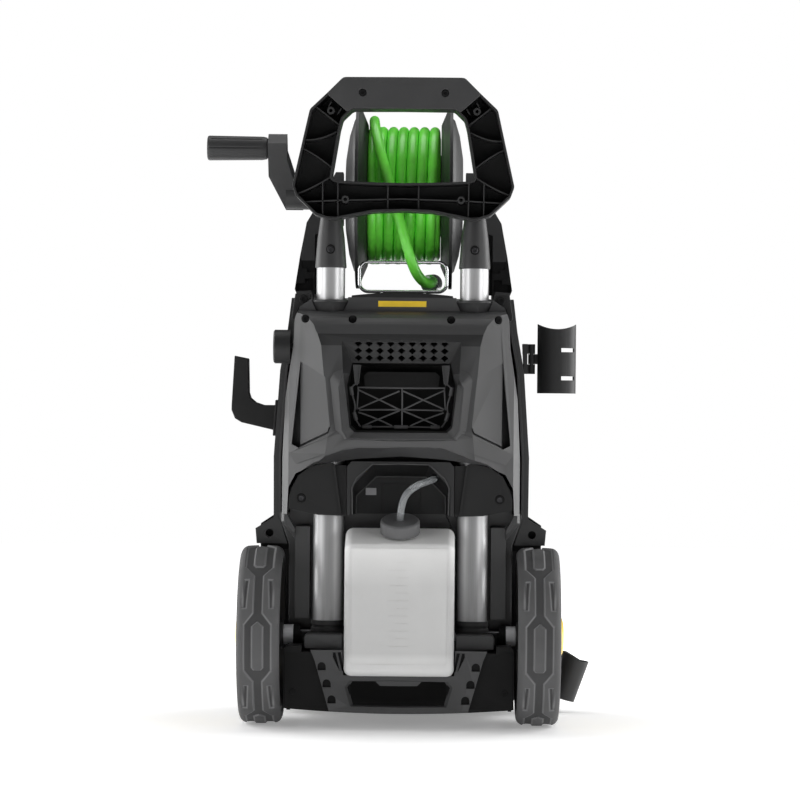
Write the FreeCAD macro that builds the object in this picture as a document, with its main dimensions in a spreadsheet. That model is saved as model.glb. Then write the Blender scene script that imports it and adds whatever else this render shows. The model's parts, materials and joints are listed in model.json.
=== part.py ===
import FreeCAD, Part
import math
import os
import re
import Sketcher

# Electric pressure washer on two wheels, with a telescopic handle and a hose reel on top.
# Millimetres. +X is to the right seen from behind, +Y points to the machine's front, +Z is up.
# The origin is on the floor, in the plane of symmetry, midway between the rearmost and foremost points.

V = FreeCAD.Vector
SIDES = (("left", -1), ("right", 1))
PLANES = {"X": "YZ_Plane", "Y": "XZ_Plane", "Z": "XY_Plane"}
GROOVE_COUNT = 24
RIM_WINDOWS = 6
VENT_COLUMNS = 9
COIL_LAYERS = 3
COIL_TURNS = 7
NET_FOOT = "net_top - net_height"
SHELL_SHOULDER = "cover_top - shoulder_drop"
PANEL_FLARE = "shell_knee + flare_rise"
FLARE_TOP = "shell_knee + flare_rise + 3"
EAR_HALF = "shell_hip_half + ear_reach"

SIZES = {
    # wheels and axle; depths are measured from the axle's plane
    "axle_y": -67,
    "wheel_radius": 100,
    "wheel_width": 47.5,
    "wheel_inner": 131,
    "tyre_depth": 14,
    "tyre_shoulder": 6,
    "tread_depth": 2.5,
    "tread_slot": 3,
    "chevron": 9,
    "rim_wall": 4,
    "rim_web": 6,
    "hub_radius": 16,
    "hub_recess": 12,
    "cap_radius": 34,
    "cap_bulge": 3,
    "cap_wall": 2.5,
    "axle_radius": 6,
    "spacer_radius": 11.25,
    "spacer_length": 11,
    "spacer_gap": 0.5,
    "retainer_radius": 10,
    "retainer_thick": 1.5,
    "turn_gap": 0.05,
    # chassis
    "base_floor": 17,
    "shelf_height": 58,
    "shoulder_height": 85,
    "base_rear": 58,
    "base_front": 214,
    "wheel_room": 5,
    "nose_half_width": 146,
    "nose_corner": 34,
    "base_wall": 4,
    "socket_half_depth": 22,
    "socket_outer": 109,
    "socket_top": 117,
    "socket_floor": 108,
    "axle_boss": 11,
    "skirt_thick": 3,
    "skirt_top_half": 96,
    "skirt_waist_half": 87.6,
    "skirt_foot_half": 75,
    "skirt_waist": 54,
    "grip_slot_half": 54,
    "grip_slot_low": 27,
    "grip_slot_high": 53,
    "foot_radius": 15,
    "foot_x": 112,
    "foot_setback": 30,
    "foot_recess": 4,
    # telescopic handle
    "tube_x": 81,
    "tube_radius": 17.5,
    "tube_wall": 1,
    "slide_gap": 0.3,
    "upper_wall": 1.2,
    "lower_tube_top": 474,
    "upper_tube_foot": 238,
    "collar_radius": 23.6,
    "collar_neck": 21,
    "collar_height": 9,
    "collar_lap": 22,
    "collar_lip": 3,
    "handle_lift": 200,
    "sleeve_foot": 513,
    "sleeve_top": 567,
    "sleeve_top_radius": 10.3,
    "sleeve_foot_radius": 17.6,
    "sleeve_grip": 13,
    # grip loop
    "grip_rear": 22,
    "grip_front": 14,
    "grip_top": 727,
    "grip_top_half": 66,
    "grip_cheek_half": 88,
    "grip_cheek": 709,
    "grip_side_half": 106,
    "grip_side": 693,
    "grip_foot_half": 125,
    "grip_foot": 605,
    "grip_heel_half": 96,
    "grip_heel": 571,
    "grip_sag": 578,
    "window_top": 692,
    "window_top_half": 55,
    "window_cheek_half": 67.5,
    "window_cheek": 682,
    "window_foot_half": 80,
    "window_foot": 617,
    "window_sill": 609,
    "grip_wall": 3,
    "grip_round": 6,
    "grip_rib": 2,
    "grip_cover_half": 80,
    "grip_cover_thick": 3,
    "screw_radius": 4.2,
    "screw_head": 2,
    # upper rear cover
    "split": 25,
    "cover_wall": 3,
    "cover_top": 480,
    "cover_top_half": 99,
    "cover_ear_half": 115,
    "cover_ear": 469,
    "cover_neck_half": 120,
    "cover_neck": 455,
    "cover_chest_half": 121.5,
    "cover_chest": 424,
    "cover_waist_half": 130.5,
    "cover_waist": 366,
    "cover_hip_half": 133.7,
    "cover_hip": 300,
    "cover_foot": 236,
    "cover_leg_half": 127.3,
    "cover_arch": 302,
    "arch_side_half": 95,
    "arch_side": 293,
    "arch_leg": 265,
    "band_rear": 14,
    "band_foot": 464,
    "brow_rear": 40,
    "brow": 452,
    "cover_rear": 55,
    "cover_rear_top": 425,
    "cover_belly_rear": 58,
    "cover_belly": 330,
    "cover_leg_rear": 42,
    "facet_half": 85,
    "facet_side": 126,
    "facet_depth": 20,
    # storage recess in the rear cover
    "recess_top": 432,
    "recess_foot": 328,
    "recess_mouth_half": 66,
    "recess_mouth_foot_half": 59,
    "recess_half": 54.5,
    "recess_lip": 35,
    "recess_floor": 8,
    "recess_inset": 5,
    "rest_half": 29,
    "rest_low": 383,
    "rest_high": 396,
    "vent_low": 405,
    "vent_thick": 3,
    "vent_pitch": 12,
    "vent_rise": 8.3,
    "vent_hole": 4,
    "net_top": 378,
    "net_height": 41,
    "net_half": 50,
    "net_cord": 3,
    # clamps, hood and lower rear panel
    "panel_thick": 3,
    "flare_rise": 31,
    "clamp_inner": 60,
    "clamp_outer": 127,
    "clamp_rear": 30,
    "clamp_top": 292,
    "clamp_wall": 3,
    "hood_mouth_half": 55.5,
    "hood_mouth_knee": 267,
    "hood_mouth_top_half": 31,
    "hood_mouth_top": 293,
    "hood_back_half": 51,
    "hood_back_knee": 255,
    "hood_back_top_half": 28,
    "hood_back_top": 277,
    "plate_half": 22,
    "plate_low": 238,
    "plate_high": 270,
    "plate_thick": 0.6,
    "sticker_x": 34,
    "sticker_half": 6,
    "sticker_low": 257,
    "sticker_high": 265,
    "strip_half": 27,
    "strip_low": 469.5,
    "strip_high": 476,
    "pilaster_inner": 102,
    "pilaster_outer": 119,
    "pilaster_top": 222,
    "pilaster_depth": 17,
    # front shell and side plates
    "shell_wall": 3,
    "side_plate": 5.5,
    "shell_foot_half": 126,
    "shell_knee": 200,
    "shell_hip_half": 139,
    "shell_belly": 300,
    "shell_belly_half": 139.5,
    "shell_chest": 398,
    "shell_chest_half": 133,
    "shoulder_drop": 37,
    "shell_shoulder_half": 125,
    "shell_top_half": 120.5,
    "front_foot": 208,
    "front_belly": 206,
    "front_chest": 200,
    "front_top": 190,
    "front_flank": 30,
    "front_cheek": 10,
    "front_cheek_in": 11,
    "front_nose_in": 38,
    "plate_front": 60,
    "ear_reach": 26,
    "ear_top": 218,
    "ear_foot": 201,
    "ear_hole_in": 16,
    "ear_hole_z": 213,
    "ear_hole_radius": 4.5,
    "ear_thick": 12,
    # hose reel
    "reel_y": 127,
    "reel_z": 603.8,
    "flange_radius": 108.8,
    "flange_rim": 4,
    "flange_rim_x": 52,
    "flange_thick": 2.5,
    "coil_radius": 80.5,
    "coil_gap": 0.3,
    "hose_diameter": 12,
    "turn_pitch": 12.1,
    "drum_wall": 3,
    "hub_cover_radius": 92,
    "hub_cover_x": 68,
    "shaft_radius": 9,
    "swivel_radius": 15,
    "tower_gap": 3.5,
    "tower_tip": 80,
    "tower_top": 630,
    "tower_shoulder_half": 103,
    "tower_shoulder": 587,
    "tower_elbow_half": 113,
    "tower_elbow": 570,
    "tower_knee_half": 120,
    "tower_knee": 531,
    "tower_hip_half": 125.5,
    "tower_hip": 492,
    "tower_inner": 103,
    "tower_inner_top": 556,
    "tower_foot_depth": 96,
    "tower_waist_depth": 66,
    "tower_top_depth": 30,
    "tower_window_low": 494,
    "tower_window_high": 524,
    "tower_window_in": 4,
    "crank_radius": 62,
    "crank_angle": 34,
    "crank_hub_radius": 17,
    "crank_hub_x": 104.5,
    "crank_hub_long": 34,
    "crank_arm_thick": 20,
    "crank_block_inner": 136,
    "crank_block_outer": 158,
    "crank_block_half": 13,
    "crank_half": 11,
    "grip_radius": 14.5,
    "grip_long": 70,
    "pin_radius": 4,
    "pin_gap": 0.3,
    # wire guide and loose end of the hose
    "guide_half": 50,
    "guide_low": 489,
    "guide_high": 523,
    "guide_y": 56,
    "guide_wire": 2,
    "guide_corner": 10,
    "connector_radius": 10.5,
    "connector_long": 24,
    # switch knob, cable hook, holster and lance cup
    "knob_z": 424,
    "knob_y": -2,
    "knob_radius": 19,
    "knob_face": 144.4,
    "knob_root": 125.2,
    "knob_wall": 3,
    "knob_shaft": 4,
    "switch_outer": 118,
    "switch_thick": 17,
    "switch_half": 14,
    "hook_y": 45,
    "hook_half": 13,
    "hook_tip": 191,
    "hook_inner": 175.5,
    "hook_top": 414,
    "hook_foot": 338,
    "hook_neck": 358,
    "hook_plate": 3,
    "holster_x": 176,
    "holster_y": 46,
    "holster_radius": 22,
    "holster_wall": 3,
    "holster_low": 374,
    "holster_high": 453,
    "holster_open": 4,
    "holster_pin_x": 147.5,
    "holster_pin": 2,
    "knuckle_radius": 4,
    "knuckle_low": 396,
    "knuckle_high": 430,
    "knuckle_third": 11,
    "cup_x": 191.4,
    "cup_y": 150,
    "cup_low": 11,
    "cup_long": 54,
    "cup_radius": 17,
    "cup_wall": 3,
    "cup_tilt": 16,
    # detergent bottle
    "bottle_half": 61,
    "bottle_rear": 66,
    "bottle_front": 10,
    "bottle_slope": 21,
    "bottle_rear_top": 204,
    "bottle_round": 9,
    "bottle_wall": 2,
    "neck_radius": 15,
    "neck_long": 9,
    "neck_depth": 31,
    "cap_outer": 22,
    "cap_height": 17,
    "cap_top": 3,
    "cap_knurls": 0.8,
    "cap_gap": 0.3,
    "dip_radius": 3,
    "filter_radius": 7,
    "filter_long": 14,
    "suction_radius": 4.2,
    "suction_x": 38,
    "suction_z": 277,
    "bottle_pull": 110,
    # motor and pump
    "motor_y": 112,
    "motor_radius": 56,
    "motor_low": 236,
    "motor_high": 392,
    "motor_wall": 6,
    "rotor_radius": 30,
    "rotor_gap": 1,
    "motor_shaft": 8,
    "fan_radius": 50,
    "fan_low": 398,
    "fan_thick": 10,
    "bell_wall": 4,
    "pump_radius": 48,
    "pump_low": 150,
    "pump_wall": 6,
    "swash_radius": 34,
    "swash_thick": 12,
    "head_low": 98,
    "head_half": 46,
    "cradle_half": 42,
    "cradle_wall": 5,
    "inlet_x": -30,
    "inlet_z": 122,
    "inlet_radius": 13.1,
    "inlet_bore": 7,
    "inlet_neck": 9,
    "inlet_long": 26,
    "feed_radius": 4.5,
    "feed_in": 9.3,
    "gland_z": 150,
    "gland_y": 150,
    "gland_radius": 11,
    "gland_long": 18,
    "gland_bore": 4.5,
}

doc = FreeCAD.newDocument("pressure_washer")
sheet = doc.addObject("Spreadsheet::Sheet", "Sizes")
for row, (alias, number) in enumerate(SIZES.items(), start=1):
    sheet.set(f"A{row}", str(number))
    sheet.setAlias(f"A{row}", alias)
doc.recompute()
NODES = []


# Helpers. Every size is an expression in the names above, kept live in the document.

def linked(expression):
    """Write the names in an expression as references to the sheet's cells."""
    def cell(word):
        name = word.group()
        return "Sizes." + name if name in SIZES else name
    return re.sub(r"[A-Za-z_]\w*", cell, str(expression))


def value(expression):
    """Work out what an expression gives with the present sizes."""
    return float(sheet.evalExpression(linked(expression)))


def node(name, thing):
    """Register a finished sub-part under its own label."""
    thing.Label = name
    NODES.append(thing)
    return thing


def mirrored(half):
    """Close a right-hand half outline with its mirror image."""
    left = [(f"-({across})", up) for across, up in reversed(half) if across != "0"]
    return half + left


def sided(side, corners):
    """Put a right-hand outline on one side of the machine."""
    return [(f"{side} * ({across})", up) for across, up in corners]


def span(side, near, far):
    """Lowest and highest X of a stretch from near to far on one side."""
    return (near, far) if side > 0 else (f"-({far})", f"-({near})")


def sketch_on(body, axis, right="0", up="0", out="0"):
    """Add a sketch square to an axis; right, up and out shift its origin in its own directions."""
    sketch = body.newObject("Sketcher::SketchObject", body.Name + "_sketch")
    plane = [item for item in body.Origin.OriginFeatures if item.Role == PLANES[axis]][0]
    sketch.AttachmentSupport = [(plane, "")]
    sketch.MapMode = "FlatFace"
    for letter, shift in (("x", right), ("y", up), ("z", out)):
        sketch.setExpression("AttachmentOffset.Base." + letter, linked(shift))
    return sketch


def draw_outline(sketch, corners):
    """Draw a closed polygon whose corners are tied to the sizes."""
    points = [V(value(across), value(up), 0) for across, up in corners]
    count = len(points)
    first = sketch.GeometryCount
    sketch.addGeometry([Part.LineSegment(points[i - 1], points[i]) for i in range(count)], False)
    ties = []
    for i in range(count):
        ties.append(Sketcher.Constraint("Coincident", first + i, 2, first + (i + 1) % count, 1))
    for i, point in enumerate(points):
        ties.append(Sketcher.Constraint("DistanceX", -1, 1, first + i, 2, point.x))
        ties.append(Sketcher.Constraint("DistanceY", -1, 1, first + i, 2, point.y))
    placed = sketch.addConstraint(ties)[count:]
    for i, (across, up) in enumerate(corners):
        sketch.setExpression(f"Constraints[{placed[2 * i]}]", linked(across))
        sketch.setExpression(f"Constraints[{placed[2 * i + 1]}]", linked(up))


def pad(body, axis, corners, low, high):
    """Extrude an outline along an axis from low to high."""
    out = f"-({high})" if axis == "Y" else low
    sketch = sketch_on(body, axis, out=out)
    draw_outline(sketch, corners)
    feature = body.newObject("PartDesign::Pad", "Pad")
    feature.Profile = sketch
    feature.setExpression("Length", linked(f"({high}) - ({low})"))
    return feature


def pocket(body, axis, corners, low, high):
    """Cut an outline out of a body along an axis, from low to high."""
    out = f"-({low})" if axis == "Y" else high
    sketch = sketch_on(body, axis, out=out)
    draw_outline(sketch, corners)
    doc.recompute()
    before = body.Shape.Volume
    feature = body.newObject("PartDesign::Pocket", "Pocket")
    feature.Profile = sketch
    feature.setExpression("Length", linked(f"({high}) - ({low})"))
    doc.recompute()
    if body.Shape.Volume > before - 0.01:
        raise RuntimeError(body.Label + ": the pocket cuts nothing")
    return feature


def prism(name, axis, corners, low, high):
    """A body of one extruded outline."""
    body = doc.addObject("PartDesign::Body", name)
    body.Label = name
    pad(body, axis, corners, low, high)
    return body


def turned(name, axis, centre, profile):
    """A body of revolution about an axis; profile corners are (place along the axis, radius)."""
    body = doc.addObject("PartDesign::Body", name)
    body.Label = name
    first, second = centre
    if axis == "X":
        sketch = sketch_on(body, "Y", up=second, out=f"-({first})")
        corners = profile
    elif axis == "Y":
        sketch = sketch_on(body, "X", up=second, out=first)
        corners = profile
    else:
        sketch = sketch_on(body, "Y", right=first, out=f"-({second})")
        corners = [(radius, along) for along, radius in profile]
    draw_outline(sketch, corners)
    feature = body.newObject("PartDesign::Revolution", "Revolution")
    feature.Profile = sketch
    feature.ReferenceAxis = (sketch, ["V_Axis" if axis == "Z" else "H_Axis"])
    feature.Angle = 360
    return body


def ring_profile(low, high, inner, outer):
    """Profile of a plain ring, for turned()."""
    return [(low, inner), (high, inner), (high, outer), (low, outer)]


def rectangle(low_across, high_across, low_up, high_up):
    """Four corners of a rectangle."""
    return [(low_across, low_up), (high_across, low_up), (high_across, high_up), (low_across, high_up)]


def place(thing, x, y, z, rotation=None):
    """Tie where a primitive stands to the sizes."""
    if rotation is not None:
        thing.Placement = FreeCAD.Placement(V(0, 0, 0), rotation)
    for letter, expression in (("x", x), ("y", y), ("z", z)):
        thing.setExpression("Placement.Base." + letter, linked(expression))


def rod(name, axis, centre, radius, low, high):
    """A solid round bar along an axis; centre holds its other two coordinates in X, Y, Z order."""
    bar = doc.addObject("Part::Cylinder", name)
    bar.setExpression("Radius", linked(radius))
    bar.setExpression("Height", linked(f"({high}) - ({low})"))
    first, second = centre
    if axis == "X":
        place(bar, low, first, second, FreeCAD.Rotation(V(0, 1, 0), 90))
    elif axis == "Y":
        place(bar, first, low, second, FreeCAD.Rotation(V(1, 0, 0), -90))
    else:
        place(bar, first, second, low)
    return bar


def block(name, x_low, x_high, y_low, y_high, z_low, z_high):
    """A rectangular block between six faces."""
    box = doc.addObject("Part::Box", name)
    box.setExpression("Length", linked(f"({x_high}) - ({x_low})"))
    box.setExpression("Width", linked(f"({y_high}) - ({y_low})"))
    box.setExpression("Height", linked(f"({z_high}) - ({z_low})"))
    place(box, x_low, y_low, z_low)
    return box


def join(name, parts):
    """Fuse pieces into one solid, or into a group where they don't touch."""
    fused = doc.addObject("Part::MultiFuse", name)
    fused.Shapes = parts
    return fused


def carve(name, base, tools):
    """Cut one or more tools out of a base."""
    cut = doc.addObject("Part::Cut", name)
    cut.Base = base
    cut.Tool = tools[0] if len(tools) == 1 else join(name + "_tools", tools)
    return cut


def shared(name, parts):
    """Keep only what all the pieces share."""
    common = doc.addObject("Part::MultiCommon", name)
    common.Shapes = parts
    return common


def round_edges(body, radius, wanted):
    """Round the edges of a body's last feature that wanted() picks."""
    doc.recompute()
    tip = body.Tip
    names = [f"Edge{i}" for i, edge in enumerate(tip.Shape.Edges, start=1) if wanted(edge)]
    fillet = body.newObject("PartDesign::Fillet", "Fillet")
    fillet.Base = (tip, names)
    fillet.setExpression("Radius", linked(radius))
    return fillet


def along(axis):
    """Picker of the edges that run along an axis."""
    direction = {"X": V(1, 0, 0), "Y": V(0, 1, 0), "Z": V(0, 0, 1)}[axis]
    return lambda edge: abs(edge.tangentAt(edge.FirstParameter).dot(direction)) > 0.99


def y_at(offset):
    """Y of a plane the given distance in front of the axle's plane."""
    return f"axle_y + ({offset})"


def y_behind(offset):
    """Y of a plane the given distance behind the axle's plane."""
    return f"axle_y - ({offset})"


# Running gear

def wheels():
    """Two wheels, each a grooved tyre, a rim with windows and a domed hub cap."""
    outer = "wheel_inner + wheel_width"
    middle = "wheel_inner + wheel_width / 2"
    seat = "wheel_radius - tyre_depth"
    barrel = f"{seat} - rim_wall"
    hub_end = f"{outer} - hub_recess"
    bore = "axle_radius + turn_gap"
    centre = ("axle_y", "wheel_radius")
    for word, side in SIDES:
        profile = [("wheel_inner", seat), (outer, seat), (outer, "wheel_radius - tyre_shoulder"),
                   (f"{outer} - tyre_shoulder", "wheel_radius"),
                   ("wheel_inner + tyre_shoulder", "wheel_radius"),
                   ("wheel_inner", "wheel_radius - tyre_shoulder")]
        tyre = turned("tyre_" + word, "X", centre, sided(side, profile))
        turning = tyre.Tip.Profile[0]
        chevron = [("wheel_inner - 1", "axle_y - chevron"), (middle, "axle_y + chevron"),
                   (f"{outer} + 1", "axle_y - chevron"),
                   (f"{outer} + 1", "axle_y - chevron + tread_slot"),
                   (middle, "axle_y + chevron + tread_slot"),
                   ("wheel_inner - 1", "axle_y - chevron + tread_slot")]
        groove = pocket(tyre, "Z", sided(side, chevron),
                        "2 * wheel_radius - tread_depth", "2 * wheel_radius + 1")
        ring = tyre.newObject("PartDesign::PolarPattern", "Grooves")
        ring.Originals = [groove]
        ring.Axis = (turning, ["H_Axis"])
        ring.Angle = 360
        ring.Occurrences = GROOVE_COUNT
        tyre.Tip = ring
        node("tyre_" + word, tyre)

        web_in = f"{middle} - rim_web / 2"
        web_out = f"{middle} + rim_web / 2"
        profile = [("wheel_inner", bore), (hub_end, bore), (hub_end, "hub_radius"), (web_out, "hub_radius"),
                   (web_out, barrel), (f"{outer} - 2", barrel), (f"{outer} - 2", seat),
                   ("wheel_inner + 2", seat), ("wheel_inner + 2", barrel), (web_in, barrel),
                   (web_in, "hub_radius"), ("wheel_inner", "hub_radius")]
        rim = turned("rim_" + word, "X", centre, sided(side, profile))
        turning = rim.Tip.Profile[0]
        low_web, high_web = span(side, f"{web_in} - 1", f"{web_out} + 1")
        window = [("axle_y - 9", "wheel_radius + cap_radius + 6"),
                  ("axle_y + 9", "wheel_radius + cap_radius + 6"),
                  ("axle_y + 22", f"wheel_radius + {barrel} - 9"),
                  ("axle_y - 22", f"wheel_radius + {barrel} - 9")]
        hole = pocket(rim, "X", window, low_web, high_web)
        ring = rim.newObject("PartDesign::PolarPattern", "Windows")
        ring.Originals = [hole]
        ring.Axis = (turning, ["H_Axis"])
        ring.Angle = 360
        ring.Occurrences = RIM_WINDOWS
        rim.Tip = ring
        node("rim_" + word, rim)

        face = f"{outer} + cap_bulge"
        profile = [(web_out, "cap_radius - cap_wall"), (f"{outer} - cap_wall", "cap_radius - cap_wall"),
                   (f"{face} - cap_wall", "cap_radius - 12"), (f"{face} - cap_wall", "0"), (face, "0"),
                   (face, "cap_radius - 10"), (outer, "cap_radius"), (web_out, "cap_radius")]
        node("hub_cap_" + word, turned("hub_cap_" + word, "X", centre, sided(side, profile)))


def axle():
    """Steel axle right across, with a spacer inside each wheel and a retaining ring outside it."""
    centre = ("axle_y", "wheel_radius")
    hub_end = "wheel_inner + wheel_width - hub_recess"
    end = f"{hub_end} + 4"
    node("axle", rod("axle", "X", centre, "axle_radius", f"-({end})", end))
    rings = []
    for word, side in SIDES:
        far = "wheel_inner - spacer_gap"
        low, high = span(side, f"{far} - spacer_length", far)
        rings.append(turned("spacer_" + word, "X", centre,
                              ring_profile(low, high, "axle_radius + turn_gap", "spacer_radius")))
        low, high = span(side, f"{hub_end} + 0.3", f"{hub_end} + 0.3 + retainer_thick")
        rings.append(turned("retainer_" + word, "X", centre,
                                ring_profile(low, high, "axle_radius", "retainer_radius")))
    node("axle_rings", join("axle_rings", rings))


# Chassis

def base_plan(inset):
    """Plan outline of the chassis, drawn in by inset on every side."""
    half = f"wheel_inner - wheel_room - {inset}"
    nose = f"nose_half_width - {inset}"
    step = f"axle_y + wheel_radius + wheel_room + {inset}"
    front = f"axle_y + base_front - {inset}"
    return mirrored([(half, f"axle_y - base_rear + {inset}"), (half, step), (nose, f"{step} + 14"),
                     (nose, f"{front} - nose_corner"), (f"{nose} - nose_corner", front)])


def base_chassis():
    """Moulded chassis: tray, shelf for the bottle, tube sockets and axle bosses."""
    rear = y_behind("base_rear")
    tray = prism("base_tray", "Z", base_plan("0"), "base_floor", "shelf_height")
    half = "wheel_inner - wheel_room - base_wall"
    step = "axle_y + wheel_radius + wheel_room + base_wall"
    nose = "nose_half_width - base_wall"
    front = "axle_y + base_front - base_wall"
    pump_bay = mirrored([(half, "axle_y + split + base_wall"), (half, step), (nose, f"{step} + 14"),
                         (nose, f"{front} - nose_corner"), (f"{nose} - nose_corner", front)])
    pocket(tray, "Z", pump_bay, "base_floor + base_wall", "shelf_height + 1")
    under = rectangle(f"-({half})", half, f"{rear} + base_wall", "axle_y + split - base_wall")
    pocket(tray, "Z", under, "base_floor - 1", "shelf_height - base_wall")
    slot = rectangle("-grip_slot_half", "grip_slot_half", "grip_slot_low", "grip_slot_high")
    pocket(tray, "Y", slot, f"{rear} - 1", f"{rear} + base_wall + 1")
    parts = [tray]
    holes = []
    notch = "bottle_half + 2"
    for word, side in SIDES:
        low, high = span(side, notch, "wheel_inner - wheel_room")
        parts.append(block("shoulder_" + word, low, high, rear, y_at("split - panel_thick"),
                           "shelf_height", "shoulder_height"))
        low, high = span(side, notch, "socket_outer")
        parts.append(block("socket_" + word, low, high, y_behind("socket_half_depth"),
                           y_at("socket_half_depth"), "shoulder_height", "socket_top"))
        far = "wheel_inner - spacer_gap - spacer_length"
        low, high = span(side, "socket_outer - 1", far)
        parts.append(rod("axle_boss_" + word, "X", ("axle_y", "wheel_radius"), "axle_boss", low, high))
        holes.append(rod("tube_hole_" + word, "Z", (f"{side} * tube_x", "axle_y"), "tube_radius + turn_gap",
                         "socket_floor", "socket_top + 1"))
        holes.append(rod("foot_hole_" + word, "Z",
                         (f"{side} * foot_x", "axle_y + base_front - foot_setback"),
                         "foot_radius - 3", "base_floor - 1", "base_floor + foot_recess"))
    holes.append(rod("axle_hole", "X", ("axle_y", "wheel_radius"), "axle_radius + turn_gap", "-200", "200"))
    solid = join("base_solid", parts)
    node("base_chassis", carve("base_chassis", solid, holes))


def rear_skirt():
    """Flat trim on the chassis's rear wall, with a hand slot and drain holes."""
    rear = y_behind("base_rear")
    notch = "bottle_half + 1"
    outline = mirrored([("skirt_foot_half", "base_floor"), ("skirt_waist_half", "skirt_waist"),
                        ("skirt_top_half", "shoulder_height"), (notch, "shoulder_height"),
                        (notch, "shelf_height")])
    skirt = prism("skirt_plate", "Y", outline, f"{rear} - skirt_thick", rear)
    slot = mirrored([("grip_slot_half", "grip_slot_low"), ("grip_slot_half", "grip_slot_high"),
                     ("22", "grip_slot_high"), ("20", "grip_slot_high - 4")])
    pocket(skirt, "Y", slot, f"{rear} - skirt_thick - 1", f"{rear} + 1")
    holes = []
    for word, side in SIDES:
        for number, (across, up) in enumerate((("skirt_waist_half - 2", "69"),
                                               ("skirt_waist_half - 9", "49"),
                                               ("skirt_foot_half - 2", "30"))):
            holes.append(rod(f"drain_{word}_{number}", "Y", (f"{side} * ({across})", up), "4",
                             f"{rear} - skirt_thick - 1", f"{rear} + 1"))
    node("rear_skirt", carve("rear_skirt", skirt, holes))


def feet():
    """Two rubber feet under the front of the chassis."""
    parts = []
    for word, side in SIDES:
        centre = (f"{side} * foot_x", "axle_y + base_front - foot_setback")
        profile = [("0", "0"), ("0", "foot_radius - 1"), ("base_floor", "foot_radius"),
                   ("base_floor", "foot_radius - 3.3"), ("base_floor + foot_recess - 0.2", "foot_radius - 3.3"),
                   ("base_floor + foot_recess - 0.2", "0")]
        parts.append(turned("foot_" + word, "Z", centre, profile))
    node("rubber_feet", join("rubber_feet", parts))


# Telescopic handle

def handle_tubes():
    """Outer tubes fixed in the sockets, inner tubes that slide in them, and the collars between."""
    inner_radius = "tube_radius - tube_wall - slide_gap"
    lower = []
    upper = []
    collars = []
    for word, side in SIDES:
        centre = (f"{side} * tube_x", "axle_y")
        lower.append(turned("lower_tube_" + word, "Z", centre, ring_profile(
            "socket_floor", "lower_tube_top", "tube_radius - tube_wall", "tube_radius")))
        upper.append(turned("upper_tube_" + word, "Z", centre, ring_profile(
            "upper_tube_foot", "sleeve_foot + sleeve_grip", f"{inner_radius} - upper_wall", inner_radius)))
        top = "lower_tube_top + collar_lip"
        bore = "tube_radius - tube_wall"
        profile = [("lower_tube_top", bore), (top, bore), (top, "collar_radius"),
                   (f"{top} - collar_height", "collar_radius"), (f"{top} - collar_height", "collar_neck"),
                   (f"{top} - collar_height - 13", "collar_neck"),
                   (f"{top} - collar_height - 13", "tube_radius + turn_gap"),
                   ("lower_tube_top", "tube_radius + turn_gap")]
        collars.append(turned("tube_collar_" + word, "Z", centre, profile))
    node("lower_tubes", join("lower_tubes", lower))
    node("upper_tubes", join("upper_tubes", upper))
    node("tube_collars", join("tube_collars", collars))


def sleeves():
    """Tapered sleeves that join the inner tubes to the grip, with a screw each."""
    tube = "tube_radius - tube_wall - slide_gap + turn_gap"
    pieces = []
    screws = []
    for word, side in SIDES:
        centre = (f"{side} * tube_x", "axle_y")
        grip_end = "sleeve_foot + sleeve_grip"
        profile = [("sleeve_foot", tube), (grip_end, tube), (grip_end, "0"), ("sleeve_top", "0"),
                   ("sleeve_top", "sleeve_top_radius"), (f"{grip_end} + 1", "sleeve_foot_radius - 0.4"),
                   ("sleeve_foot", "sleeve_foot_radius")]
        pieces.append(turned("sleeve_" + word, "Z", centre, profile))
        screws.append(rod("sleeve_screw_" + word, "Y", (f"{side} * tube_x", "sleeve_foot + 9"), "screw_radius",
                          y_behind("sleeve_foot_radius + 1"), y_behind("sleeve_foot_radius - 0.1")))
    node("sleeves", join("sleeves", pieces))
    return screws


def grip_outline(inset):
    """Half outline of the grip loop from the top down, drawn in by inset."""
    return [("0", f"grip_top - {inset}"), (f"grip_top_half - {inset} / 2", f"grip_top - {inset}"),
            (f"grip_cheek_half - {inset} * 0.8", f"grip_cheek - {inset} * 0.6"),
            (f"grip_side_half - {inset}", f"grip_side - {inset} / 2"),
            (f"grip_foot_half - {inset}", f"grip_foot + {inset} / 4"),
            (f"grip_heel_half - {inset} / 3", f"grip_heel + {inset}"),
            (f"sleeve_x_half", f"sleeve_top + {inset}"), ("45", f"grip_heel + 3.5 + {inset}"),
            ("0", f"grip_sag + {inset}")]


def window_outline(outset):
    """Half outline of the grip's window from the top down, widened by outset."""
    return [("0", f"window_top + {outset}"), (f"window_top_half + {outset} / 2", f"window_top + {outset}"),
            (f"window_cheek_half + {outset}", f"window_cheek + {outset} / 2"),
            (f"window_foot_half + {outset}", f"window_foot - {outset} / 3"),
            (f"window_foot_half - 8 + {outset} / 2", f"window_sill + 4 - {outset}"),
            ("0", f"window_sill - {outset}")]


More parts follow.
